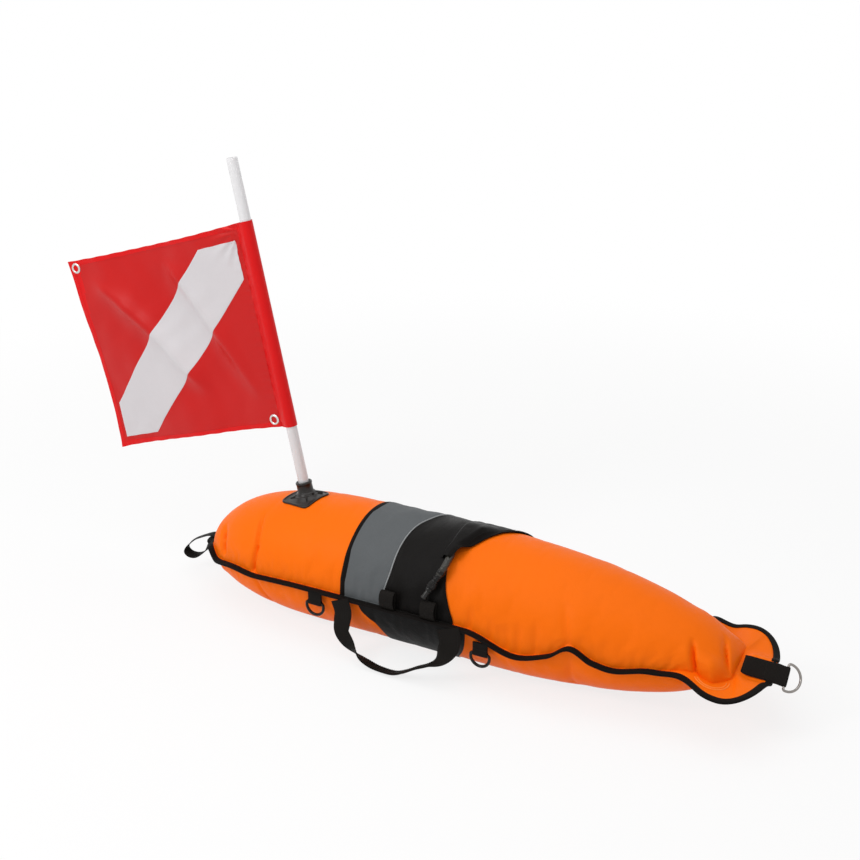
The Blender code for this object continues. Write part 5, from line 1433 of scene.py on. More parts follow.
    def build(self) -> None:
        """All bands in order from the stern, then the stitches along their edges."""
        half, near_tape = self.piping_width / 2, self.tape_width / 2
        straight = ((0.0, self.grey_edge), (180.0, self.grey_edge))
        flap_limits = (self.flap_start, 180.0)
        tape = self.band("panel_edge_binding", TAPE, (straight, straight), self.tape_edge, cells=6,
                         shift=(-near_tape, near_tape), crown=self.tape_thick - self.tape_edge)
        grey = self.band("grey_panel", GREY, (straight, PIPING_LINE), self.panel, raised="slack",
                         shift=(near_tape * 0.6, -half * 0.5))
        self.band("reflective_piping", PIPING, (PIPING_LINE, PIPING_LINE), self.piping_edge, cells=6,
                  shift=(-half, half), crown=self.piping_thick - self.piping_edge, raised="slack")
        black = self.band("black_panel", BLACK, (PIPING_LINE, BLACK_EDGE), self.panel, raised="slack",
                          shift=(half * 0.5, 0.0), cells=28)
        flap = self.band("inflator_flap", BLACK, (FLAP_FOLD, FLAP_EDGE), self.panel, flap_limits,
                         raised="hood", cells=36, body_lift=0.0011)
        self.band("lower_patch", PATCH, (PATCH_STERN, PATCH_BOW), self.panel, (0.0, self.patch_bottom),
                  cover=Cover.LOWER, cells=40)
        self.band("flap_edge_binding", TAPE, (FLAP_EDGE, FLAP_EDGE), self.hem_tape, flap_limits,
                  raised="hood", shift=(-0.0075, 0.0012), cells=6, body_lift=0.0021)
        self.band("black_edge_binding", TAPE, (BLACK_EDGE, BLACK_EDGE), self.hem_tape, (0.0, 44.0),
                  raised="slack", shift=(-0.0050, 0.0008), cells=6, body_lift=0.0010)
        self.stitch_row("tape_stitches", tape[2, 2:-2], THREAD, ON_CLOTH)
        self.stitch_row("grey_stitches", grey[-2, 2:-2], GREY_THREAD, ON_CLOTH)
        self.stitch_row("black_stitches", black[2, 2:-2], THREAD, ON_CLOTH)
        self.lift_lip(self.stitch_row("flap_stitches", flap[-7, 1:-2], THREAD, 0.0012, ""))


# ---------------------------------------------------------------- mast socket and mast


@dataclass
class MastSocket:
    """Square rubber base with a raised rim, four webs and a collar for the mast."""

    hull: Chamber
    x: float = -0.306
    lean: float = 11.8
    plate: float = 0.0632
    plate_shift: float = -0.0035
    corner: float = 0.010
    yaw: float = -11.5
    plate_thick: float = 0.0016
    rim: float = 0.0013
    rim_width: float = 0.0032
    bore: float = 0.0104
    wall: float = 0.0032
    height: float = 0.0270
    lip: float = 0.0055
    foot_radius: float = 0.0200
    step_radius: float = 0.0168
    floor: float = 0.0022
    sides: int = 96

    def crown_point(self, x: Array, y: Array, lift: Level) -> Array:
        """A point on top of the cover at a place in plan."""
        angle = np.arccos(np.clip(-y / self.hull.half(x), -1, 1))
        base = self.hull.seam_height(x) + self.hull.gathered(x, angle) + self.hull.skin
        z = base + self.hull.rise(x, Cover.UPPER) * np.sin(angle) + self.hull.relief(x, angle)
        return xyz(x, y, z + lift)

    def axis(self) -> Matrix:
        """On top of the float under the mast, Z along the leaning mast."""
        return Matrix.Translation(hinge_place("mast_lift")) @ Matrix.Rotation(radians(-self.lean), 4, "Y")

    def reach(self, direction: Array) -> Array:
        """Reach of a rounded square: half / (|cos|^p + |sin|^p)^(1/p)."""
        half = self.plate / 2
        power = -log(2) / log(1 - (1 - sqrt(0.5)) * self.corner / half)
        turn = direction - radians(self.yaw)
        return half / (np.abs(np.cos(turn)) ** power + np.abs(np.sin(turn)) ** power) ** (1 / power)

    def build(self) -> None:
        """The plate's rings follow the crown; the collar's rings stand on the mast's axis."""
        matrix = self.axis()
        direction = np.linspace(0, 2 * pi, self.sides + 1)
        reach = self.reach(direction)
        top = GAP + self.plate_thick
        rim = top + self.rim
        plate = [(reach * share, GAP) for share in (0.02, 0.5, 0.96)]
        plate += [(reach - inset, lift) for inset, lift in (
            (0.0005, GAP + 0.0002), (0.0, GAP + 0.0008), (0.0, rim - 0.0006), (0.0006, rim),
            (self.rim_width - 0.0006, rim), (self.rim_width, rim - 0.0005),
            (self.rim_width + 0.0004, top + 0.0001), (self.rim_width + 0.0012, top),
        )]
        rows = []
        for radius, lift in plate:
            flat = placed(polar(radius, direction, 0.0), matrix)
            rows.append(self.crown_point(flat[:, 0], flat[:, 1] + self.plate_shift, lift))
        foot, step = self.foot_radius, self.step_radius
        collar, bore, low = self.bore + self.wall, self.bore, self.height - self.lip
        lip = collar + 0.0005
        rows += [placed(polar(radius, direction, level), matrix) for radius, level in (
            (foot + 0.0006, 0.0016), (foot, 0.0036), (foot - 0.0010, 0.0040), (step + 0.0006, 0.0042),
            (step, 0.0048), (step - 0.0006, 0.0072), (step - 0.0014, 0.0080), (collar + 0.0008, 0.0084),
            (collar, 0.0094), (collar - 0.0002, low), (lip - 0.0004, low + 0.0008), (lip, low + 0.0016),
            (lip, self.height - 0.0016), (lip - 0.0005, self.height - 0.0005), (lip - 0.0016, self.height),
            (bore + 0.0010, self.height), (bore, self.height - 0.0010), (bore, self.floor), (0.0, self.floor),
        )]
        rows = [rows[0].mean(axis=0, keepdims=True) + 0 * rows[0]] + rows
        add_piece("mast_socket", swept(np.stack(rows), False), RUBBER, sharp=55)
        for number in range(4):
            self.build_web(number, matrix, collar)
        self.build_nub(matrix, collar)

    def build_web(self, number: int, matrix: Matrix, collar: float) -> None:
        """A low web from the collar towards one corner of the plate.

        Its half thickness and top fall from the collar outwards; its foot is in the plate.
        """
        out = np.linspace(0, 1, 9)[:, None]
        radius = collar - 0.0006 + out * 0.0150
        top = 0.0048 * (1 - out) ** 1.3 + 0.0030
        half = 0.0019 - 0.0005 * out
        s = np.array([-1, -1, -0.6, 0.6, 1, 1, -1])
        t = np.array([0.0, 0.86, 1.0, 1.0, 0.86, 0.0, 0.0])
        foot = -0.0022
        sunk = np.maximum(radius - 0.018, 0) * 0.20 * (1 - t)
        local = xyz(radius, half * s, foot + (top - foot) * t - sunk)
        turn = matrix @ Matrix.Rotation(radians(self.yaw + 45 + 90 * number), 4, "Z")
        add_piece(f"socket_web_{number + 1}", swept(placed(local, turn)), RUBBER)

    def build_nub(self, matrix: Matrix, collar: float) -> None:
        """The small bead on the collar's bow side that the mast's pin passes."""
        profile = softened([(0, -0.0010), (0.0024, -0.0010), (0.0022, 0.0016), (0, 0.0020)], 0.0006)
        place = Matrix.Translation(Vector((collar + 0.0030, -0.0030, 0.0062)))
        add_piece("socket_nub", turned(profile, matrix @ place @ Matrix.Rotation(pi / 2, 4, "Y"), 24), RUBBER)


@dataclass
class FlagMast:
    """A milky tube cut square, standing in the socket."""

    socket: MastSocket
    radius: float = 0.0092
    wall: float = 0.0013
    length: float = 0.577

    def build(self) -> None:
        """The tube, turned with slightly eased cut edges."""
        low, inner = self.socket.floor + GAP, self.radius - self.wall
        high = low + self.length
        corners = [(inner, low), (self.radius, low), (self.radius, high), (inner, high)]
        add_piece("flag_mast", turned(softened(corners, 0.0003), self.socket.axis(), 64), MILKY, "mast")


# ---------------------------------------------------------------- dive flag


@dataclass
class DiveFlag:
    """Red cloth with a white diagonal, hemmed, sleeved on the mast and held by two eyelets."""

    socket: MastSocket
    foot: float = 0.1275
    hoist: float = 0.350
    fly: float = 0.392
    droop: float = 4.9
    cloth: float = 0.0007
    sleeve_radius: float = 0.01045
    sewn: float = 0.0190
    hem: float = 0.0100
    stripe: float = 0.0004
    eyelet_inset: float = 0.0135
    eyelet_outer: float = 0.0095
    eyelet_hole: float = 0.0054
    stitch: Stitch = Stitch(0.0024, 0.0034, 0.00045)
    faces: tuple[tuple[int, str], ...] = ((-1, "near"), (1, "far"))

    def eyelets(self) -> tuple[Pair, Pair]:
        """Middle of each eyelet as (reach along the fly, height up the hoist)."""
        low = (self.sewn + self.eyelet_outer + 0.0025, self.eyelet_inset)
        return (self.fly - self.eyelet_inset, self.hoist - self.eyelet_inset), low

    def crease(self, u: Array, v: Array, line: Sequence[Pair], height: float, step: float) -> Array:
        """A drawn fold along a line: h exp(-(d / w)^2) and a steep side, step tanh(d / 7 mm), at d off it.

        Args:
            u: reach along the fly.
            v: height up the hoist.
            line: points that the fold passes.
            height: how far the ridge stands off.
            step: how far one side lies behind the other.

        Returns:
            How far the cloth stands off there.
        """
        path = smooth_path([(a, b, 0.0) for a, b in line], 200)[:, :2]
        ahead = unit(np.gradient(path, axis=0))
        u, v = np.broadcast_arrays(u, v)
        du, dv = u[..., None] - path[:, 0], v[..., None] - path[:, 1]
        near = np.argmin(du**2 + dv**2, axis=-1)[..., None]
        side = np.take_along_axis(dv * ahead[:, 0] - du * ahead[:, 1], near, -1)[..., 0]
        past = np.take_along_axis(du * ahead[:, 0] + dv * ahead[:, 1], near, -1)[..., 0]
        along = near[..., 0] / (len(path) - 1)
        fade = hump(along, 0.0, 0.22, 0.72, 1.0) * np.exp(-((past / 0.02) ** 2))
        spread = 0.010 + 0.012 * fade
        ridge = height * np.exp(-((side / spread) ** 2))
        return fade * (ridge + step * np.tanh(side / 0.007) * np.exp(-((side / 0.048) ** 2)))

    def fold(self, u: Array, v: Array) -> Array:
        """Sideways swell of the cloth: a slow wave, the creases drawn from the eyelets, and small folds.

        It is level round the eyelets and at the mast.

        Args:
            u: reach along the fly.
            v: height up the hoist.

        Returns:
            How far the cloth stands towards -Y.
        """
        away = eased(u, self.sewn, 0.15)
        wave = 0.0050 * np.sin(2 * pi * (u / 0.30 - v / 0.55) + 0.6) * away
        outer, inner = self.eyelets()
        upper = self.crease(u, v, (outer, (0.255, 0.200), (0.201, 0.128), (0.150, 0.066)), 0.0082, -0.0046)
        lower = self.crease(u, v, ((0.195, 0.325), (0.155, 0.252), (0.120, 0.186), inner), 0.0074, -0.0042)
        crinkle = 0.0007 * np.sin(95 * u + 40 * v + 2 * np.sin(31 * v)) * np.sin(52 * v - 23 * u + 1.2) * away
        top = self.hoist - 0.012
        fan = np.hypot(u - self.sewn, v - top)
        bearing = np.arctan2(top - v, np.maximum(u - self.sewn, 1e-6))
        corner = 0.0014 * np.sin(bearing * 15) * np.exp(-((fan - 0.030) / 0.026) ** 2)
        level = 1.0
        for gu, gv in (outer, inner):
            level = level * eased(np.hypot(u - gu, v - gv), 0.018, 0.075)
        ripple = 0.0009 * np.sin(2 * pi * v / 0.0135 + 1.7 * np.sin(60 * v))
        gather = ripple * np.exp(-np.abs(u - self.sewn) / 0.010) * eased(u, self.sewn, self.sewn + 0.004)
        edge = 0.0008 * np.sin(2 * pi * u / 0.047) * np.exp(-np.minimum(v, self.hoist - v) / 0.012) * away
        return (upper + lower + crinkle + corner - wave + edge) * level + gather

    def half_thick(self, u: Array, v: Array) -> Array:
        """Half the cloth's thickness: more in the folded hems, dented along their stitch line."""
        rim = np.minimum(np.minimum(self.fly - u, v), self.hoist - v)
        hem = 1 - eased(rim, self.hem - 0.0010, self.hem + 0.0006)
        dent = np.exp(-(((rim - self.hem + 0.0016) / 0.0009) ** 2))
        return self.cloth / 2 + 0.00042 * hem - 0.00022 * dent

    def outline_drift(self, u: Array, v: Array) -> tuple[Array, Array]:
        """The sewn outline's small unevenness: both edges pulled in a little between their corners."""
        su, sv = u / self.fly, v / self.hoist
        du = -0.0045 * np.sin(pi * sv) * eased(su, 0.4, 1.0) + 0.0130 * (su * sv) ** 2
        dv = (0.5 - sv) * 2 * (0.0040 * np.sin(pi * np.clip(su, 0, 1)) + 0.0003 * np.sin(u * 190))
        return u + du, v + dv * eased(np.abs(sv - 0.5), 0.2, 0.5)

    def point(self, u: Array, v: Array, off: Level) -> Array:
        """A place on the cloth in the mast's own axes, off being towards +Y."""
        turn = radians(self.droop)
        ru, rv = self.outline_drift(u, v)
        side = off - self.cloth / 2 - GAP - self.fold(u, v)
        return xyz(-ru * cos(turn), side, self.foot + rv - ru * sin(turn))

    def build(self) -> None:
        """Cloth with its sleeve, stripes, stitches and eyelets."""
        matrix = self.socket.axis()
        hem, hoist = self.hem, self.hoist
        u = np.concatenate([
            np.linspace(self.sewn + 0.0012, self.fly - hem - 0.002, 118),
            np.linspace(self.fly - hem - 0.0014, self.fly, 12),
        ])
        rim = np.linspace(0, hem + 0.0010, 11)
        v = np.concatenate([rim, np.linspace(hem + 0.002, hoist - hem - 0.002, 104), hoist - rim[::-1]])
        cols, rows = np.meshgrid(u, v)
        turn = np.radians(np.linspace(118, -118, 30))
        pucker = 0.0005 * np.sin(2 * pi * v / 0.021 + 1.3 * np.sin(70 * v))[:, None]
        back = np.array([(-self.sewn, 0.00065), (-0.0172, 0.0016), (-0.0150, 0.0032), (-0.0120, 0.0056)])
        ring = self.sleeve_radius * np.stack([np.cos(turn), np.sin(turn)], axis=-1)
        line = np.concatenate([back, ring, back[::-1] * (1, -1)])
        ahead = unit(np.gradient(line, axis=0))
        normal = np.stack([ahead[:, 1], -ahead[:, 0]], axis=-1)
        loose = eased(-line[:, 0], 0.004, 0.014)[None, :] * pucker
        sides = []
        for sign in (-1, 1):
            way = line[None, :, :] + normal[None, :, :] * (sign * self.cloth / 2 + loose)[..., None]
            reach = np.clip(-way[..., 0], 0, None)
            drifted = self.outline_drift(reach, rows[:, :1] + 0 * reach)[1]
            sleeve = xyz(way[..., 0], way[..., 1], self.foot + drifted - reach * sin(radians(self.droop)))
            flat = self.point(cols, rows, sign * self.half_thick(cols, rows))
            sides.append(placed(np.concatenate([sleeve, flat], axis=1), matrix))
        wrap = lengths_along(line)
        uv = np.stack(np.meshgrid(np.concatenate([wrap - wrap[-1], u - u[0]]), v), axis=-1)
        cloth = add_piece("flag_cloth", cloth_shell(*sides, uv), RED, "flag", sharp=60)
        self.paint_hems(cloth)
        parts = [self.build_stripe(f"flag_stripe_{face}", side, matrix) for side, face in self.faces]
        parts += self.build_stitches(matrix)
        parts += [self.build_eyelet(number, matrix) for number in (0, 1)]

    def paint_hems(self, cloth: bpy.types.Object) -> None:
        """Gives the faces of the doubled hems and the sleeve the deeper red of two layers."""
        cloth.data.materials.append(RED_HEM.material())
        centre = np.zeros(len(cloth.data.polygons) * 3)
        cloth.data.polygons.foreach_get("center", centre)
        local = placed(centre.reshape(-1, 3), self.socket.axis().inverted())
        turn = radians(self.droop)
        reach = -local[:, 0] / cos(turn)
        height = local[:, 2] - self.foot + np.clip(reach, 0, None) * sin(turn)
        rim = np.minimum(np.minimum(self.fly - reach, height), self.hoist - height)
        hem = (rim < self.hem + 0.0006) | (reach < self.sewn + 0.0010)
        cloth.data.polygons.foreach_set("material_index", hem.astype(np.int32))

    def build_stripe(self, name: str, side: int, matrix: Matrix) -> bpy.types.Object:
        """The white diagonal on one face, laid on the cloth's own surface.

        Between the hoist and the fly its edges are two slanted lines cut off level at the top and
        bottom insets; v runs from the lower edge to the upper one at each u.
        """
        start, end = 0.0285, self.fly - 0.0155
        top, bottom = self.hoist - 0.0265, 0.0170
        long_end, short_end = 0.0780, 0.0655
        slope = (bottom + short_end - top) / (end - start - long_end)
        kinks = [start, start + long_end, end - long_end, end]
        u = np.unique(np.concatenate([np.linspace(start, end, 110), kinks]))
        upper = np.minimum(top, top + (u - start - long_end) * slope)
        lower = np.maximum(bottom, top - short_end + (u - start) * slope)
        share = np.linspace(0, 1, 44)[:, None]
        v = lower[None, :] + (upper - lower)[None, :] * share
        cols = u[None, :] + 0 * v
        near = self.cloth / 2 + 0.00012
        edge = np.minimum(np.minimum(share, 1 - share) * (upper - lower)[None, :], 0.001) / 0.001
        far = near + self.stripe * (0.35 + 0.65 * edge)
        sides = [placed(self.point(cols, v, side * off), matrix) for off in (far, near + 0 * far)]
        return add_piece(name, cloth_shell(*sides, np.stack([cols, v], axis=-1)), WHITE, "flag", sharp=60)

    def build_stitches(self, matrix: Matrix) -> list[bpy.types.Object]:
        """Stitch lines round the hems and along the sleeve's seam, on both faces."""
        inset = self.hem - 0.0016
        low, high, far = inset, self.hoist - inset, self.fly - inset
        across, down = np.linspace(self.sewn + 0.001, far, 260), np.linspace(high, low, 260)
        level = 0 * across
        hems_u = np.concatenate([across, far + level, across[::-1]])
        round_hems = (hems_u, np.concatenate([high + level, down, low + level]))
        by_sleeve = (self.sewn + 0.0006 + level, np.linspace(self.hoist - 0.001, 0.001, 260))
        made = []
        for number, (u, v) in enumerate((round_hems, by_sleeve)):
            for side, face in self.faces:
                name = f"flag_stitch_{number + 1}_{face}"
                line = placed(self.point(u, v, side * (self.half_thick(u, v) + ON_CLOTH)), matrix)
                up = matrix.to_3x3() @ Vector((0, side, 0))
                made.append(sew(name, line, up, self.stitch, RED_THREAD, "flag"))
        return made

    def build_eyelet(self, number: int, matrix: Matrix) -> bpy.types.Object:
        """A rolled eyelet: a barrel through the cloth with a curled flange on each face."""
        u, v = self.eyelets()[number]
        half = self.cloth / 2 + 0.0004 + GAP
        hole, outer = self.eyelet_hole, self.eyelet_outer
        mid = (hole + outer) / 2
        curl = [(hole, 0.0), (hole, half), (hole + 0.0004, half + 0.0008), (mid - 0.0008, half + 0.0014),
                (mid + 0.0006, half + 0.0014), (outer - 0.0006, half + 0.0008), (outer, half + 0.0001)]
        profile = np.array(curl + [(r, -h) for r, h in curl[::-1]] + [curl[0]])
        middle = Vector(self.point(np.array(u), np.array(v), 0.0).tolist())
        local = matrix @ Matrix.Translation(middle) @ Matrix.Rotation(pi / 2, 4, "X")
        return add_piece(f"flag_grommet_{number + 1}", turned(profile, local, 40), NICKEL, "flag")


# ---------------------------------------------------------------- rings, straps and loops


@dataclass
class WireRing:
    """A D of round wire: a straight bar, two short arms and a half round."""

    half: float
    arm: float
    wire: float
    finish: Finish

    def build(self, name: str, matrix: Matrix) -> None:
        """The wire along its closed line, the matrix's X on the bar and -Z the way it hangs.

        Args:
            name: the piece's name, which its CAD node and body have too.
            matrix: where its bar is.
        """
        corner = self.wire * 1.5
        quarter = np.linspace(0, pi / 2, 7)
        right = [(self.half - corner + corner * sin(a), corner - corner * cos(a)) for a in quarter]
        bow = [(self.half * cos(a), self.arm + self.half * sin(a)) for a in np.linspace(0.0, pi, 41)]
        left = [(-x, y) for x, y in right[::-1]]
        bar = [(x, 0.0) for x in np.linspace(-self.half + corner, self.half - corner, 9)[1:-1]]
        line = np.array(right + bow + left + bar + right[:1])
        path = even_path(xyz(line[:, 0], 0.0, -line[:, 1]), 0.0011)
        sections = round_bar(path, self.wire, 16, (0, 1, 0))
        sections[-1] = sections[0]
        form = swept(placed(sections, matrix), False, sweep_uv(path, sections[0]))
        add_piece(name, form, self.finish, name)


@dataclass
class SideRing:
    """One black D-ring under the seam with the webbing tab that is folded round its bar."""

    side: Side
    end: str
    drop: float = 0.0195
    stitch: Stitch = Stitch(0.0026, 0.0036, 0.0006)

    def build(self) -> None:
        """The tab's line leaves the tape, goes round the bar and comes back; the ring hangs on it."""
        name = f"{self.side.name.lower()}_{self.end}"
        place = hinge_place(f"{name}_ring_swing")
        ring = WireRing(0.0160, 0.0060, 0.0025, BLACK_PLASTIC)
        ring.build(f"{name}_ring", Matrix.Translation(place))
        radius = ring.wire + GAP + WEBBING_THICK / 2
        legs = (WEBBING_THICK + GAP) / 2
        wrap = [(radius * sin(a), radius * cos(a)) for a in np.radians(np.linspace(62, 298, 19))]
        leg = [(legs, self.drop), (legs, self.drop * 0.72), (legs, radius * 1.75)]
        line = leg + wrap + [(-y, z) for y, z in leg[::-1]]
        path = np.array([(place.x, place.y + y, place.z + z) for y, z in line])
        add_strap(f"{name}_tab", path, ribbon(path, (1, 0, 0), WEBBING, WEBBING_THICK))
        x = np.linspace(-0.0105, 0.0105, 20) + place.x
        y = place.y + self.side.value * (legs + WEBBING_THICK / 2 + ON_CLOTH)
        sew(f"{name}_tab_stitch", xyz(x, y, place.z + 0.0080), (0, self.side.value, 0), self.stitch)


@dataclass
class BowStrap:
    """The wide strap over the bow: rolled with the pinched paddle and folded round the steel ring's bar."""

    hull: Chamber
    width: float = 0.0300
    inner: float = 0.4620
    roll: float = 46.0
    drop: float = 0.0015
    ring_out: float = -52.0
    row_share: float = 0.42
    stitch: Stitch = Stitch(0.0024, 0.0034, 0.0005)

    def build(self) -> None:
        """Both layers along the flange, rolled about X with the fold, and the ring in its end."""
        hull, stack = self.hull, self.hull.over_tape
        place = hinge_place("bow_ring_swing")
        ring = WireRing(0.0205, 0.0040, 0.0020, STEEL)
        rolled = Matrix.Translation(place) @ Matrix.Rotation(radians(self.roll), 4, "X")
        swung = Matrix.Rotation(pi / 2, 4, "Z") @ Matrix.Rotation(radians(self.ring_out), 4, "X")
        ring.build("bow_ring", rolled @ swung)
        radius = ring.wire + GAP + WEBBING_THICK / 2
        clear, bar = hull.bow_tip + 0.0035, place.x
        neck = (bar - radius * 0.9 - clear, radius * 0.72 - stack)
        top = [(x, stack) for x in np.linspace(self.inner, clear, 16)]
        top += [(clear + s * neck[0], stack + s * neck[1]) for s in (0.3, 0.6, 1.0)]
        wrap = [(bar + radius * cos(a), radius * sin(a)) for a in np.radians(np.linspace(115, -115, 19))]
        x, height = np.array(top + wrap + [(x, -h) for x, h in top[::-1]]).T
        past = eased(x, clear, bar - radius)
        level, tip = (
            hull.seam_height(at) + hull.seam_wave(at, 0.0)
            for at in (np.minimum(x, hull.bow_tip), np.array(hull.bow_tip))
        )
        level = level * (1 - past) + (tip - self.drop) * past
        angle = radians(self.roll) * (0.55 + 0.45 * eased(x, hull.pinch_start, hull.pinch_full))
        ways, off = xyz(0.0, np.cos(angle), np.sin(angle)), xyz(0.0, -np.sin(angle), np.cos(angle))
        path = xyz(x, 0.0, level) + off * height[:, None]
        add_strap("bow_strap", path, ribbon(path, ways, self.width, WEBBING_THICK))
        reach = self.width * self.row_share
        rows = [path[1:15] + ways[1:15] * reach * side for side in (-1, 1)]
        rows += [path[k] + ways[k] * np.linspace(-reach, reach, 14)[:, None] for k in (1, 10)]
        for number, row in enumerate(rows):
            lifted = row + off[5] * (WEBBING_THICK / 2 + ON_CLOTH)
            sew(f"bow_strap_stitch_{number + 1}", lifted, off[5], self.stitch)


@dataclass
class SternLoop:
    """The webbing loop sewn over and under the stern tab, drooping and slightly twisted."""

    hull: Chamber
    width: float = 0.0190
    inner: float = -0.4920
    bow: float = 0.0012

    def build(self) -> None:
        """The strap along its line; its width turns with the twist and its middle stands a little proud."""
        tip = self.hull.stern_tip
        z = float(self.hull.seam_height(np.array(tip)) + self.hull.seam_wave(np.array(tip)))
        gap = self.hull.over_tape
        line = [
            (self.inner, z + gap), (tip + 0.0090, z + gap), (tip - 0.0035, z + gap),
            (tip - 0.0200, z - 0.0040), (tip - 0.0420, z - 0.0160), (tip - 0.0590, z - 0.0310),
            (tip - 0.0640, z - 0.0430), (tip - 0.0540, z - 0.0500), (tip - 0.0360, z - 0.0470),
            (tip - 0.0160, z - 0.0310), (tip - 0.0035, z - gap - 0.0050),
            (tip + 0.0090, z - gap), (self.inner, z - gap),
        ]
        path = even_path(smooth_path([(x, 0.0, h) for x, h in line], 160), 0.0020)
        share = np.linspace(0, 1, len(path))
        twist = 0.55 * hump(share, 0.25, 0.50, 0.55, 0.80)
        width = self.width * (1 - 0.16 * hump(share, 0.2, 0.4, 0.6, 0.85))
        bow = self.bow * hump(share, 0.22, 0.4, 0.62, 0.8)
        add_strap("stern_loop", path, ribbon(path, xyz(0.35 * twist, 1.0, twist), width, WEBBING_THICK, bow))


@dataclass
class CarryHandle:
    """The carry strap, sewn at both ends to the tape and folded lengthwise where the hand goes."""

    bow_x: float = 0.0300
    thick: float = 0.0018
    hang: tuple[Triple, ...] = (
        (-0.1585, -0.1300, 0.0814), (-0.1590, -0.1330, 0.0640), (-0.1580, -0.1360, 0.0467),
        (-0.1412, -0.1390, 0.0291), (-0.1234, -0.1410, 0.0146), (-0.1018, -0.1430, 0.0065),
        (-0.0828, -0.1440, 0.0036), (-0.0564, -0.1450, 0.0046), (-0.0368, -0.1440, 0.0126),
        (-0.0174, -0.1430, 0.0242), (0.0025, -0.1400, 0.0338), (0.0187, -0.1370, 0.0460),
        (0.0345, -0.1320, 0.0700), (0.0340, -0.1290, 0.0880),
    )
    widths: tuple[Pair, ...] = (
        (0.0, 0.033), (0.10, 0.031), (0.25, 0.024), (0.40, 0.023), (0.55, 0.022), (0.75, 0.022),
        (0.88, 0.033), (1.0, 0.040),
    )
    stitch: Stitch = Stitch(0.0026, 0.0038, 0.0006)
    row_share: float = 0.40
    on_floor: float = 0.0012

    def build(self) -> None:
        """The strap's line hangs beside the float; its width turns from along X to lying outwards."""
        stern = hinge_place("handle_swing")
        line = [tuple(stern), *self.hang, (self.bow_x, stern.y, stern.z)]
        path = even_path(smooth_path(line, 260), 0.0025)
        share = np.linspace(0, 1, len(path))
        lie = hump(share, 0.20, 0.42, 0.70, 0.90)
        ways = xyz(1 - lie, -lie, 0.25 * lie)
        ahead = unit(np.gradient(path, axis=0))
        ways = unit(ways - ahead * (ways * ahead).sum(axis=1, keepdims=True))
        flat = unit(np.cross(ahead, ways))
        width = faired(self.widths, share)
        thick = self.thick * (1 + 0.9 * hump(share, 0.2, 0.4, 0.70, 0.86))
        sections = ribbon(path, ways, width, thick)
        sections[..., 2] = np.maximum(sections[..., 2], self.on_floor)
        add_strap("carry_handle", path, sections, "handle")
        for number, side in enumerate((-1, 1)):
            edge = path + ways * (side * width * self.row_share)[:, None] - flat * (thick / 2)[:, None] * 1.05
            sew(f"handle_stitch_{number + 1}", edge[4:-4], -flat[4:-4], self.stitch, body="handle")


@dataclass
class StandingLoop:
    """A short webbing loop standing above the seam, open along the float."""

    hull: Chamber
    name: str
    x: float
    under: float
    height: float = 0.0290
    depth: float = 0.0095

    def build(self) -> None:
        """The loop's line goes up the chamber's side, over and down in front."""
        x = np.array(self.x)
        foot = float(self.hull.seam_height(x)) + self.hull.over_tape + WEBBING_THICK / 2
        back = -(float(self.hull.half(x)) + SEWN_GAP + self.under + GAP + WEBBING_THICK / 2)
        front = back - self.depth
        top = foot + self.height
        line = [
            (back - 0.0012, foot), (back - 0.0002, foot + 0.010), (back + 0.0012, foot + 0.020),
            (back + 0.0022, top - 0.004), (back + 0.0012, top - 0.0008), (back - 0.0022, top + 0.0006),
            (front + 0.0022, top - 0.0030), (front, top - 0.0090), (front - 0.0004, foot + 0.013),
            (front + 0.0022, foot + 0.0042), (back - 0.0042, foot),
        ]
        path = smooth_path([(self.x, y, z) for y, z in line], 60)
        add_strap(self.name, path, ribbon(path, (1, 0, 0), WEBBING, WEBBING_THICK))


# ---------------------------------------------------------------- oral inflator


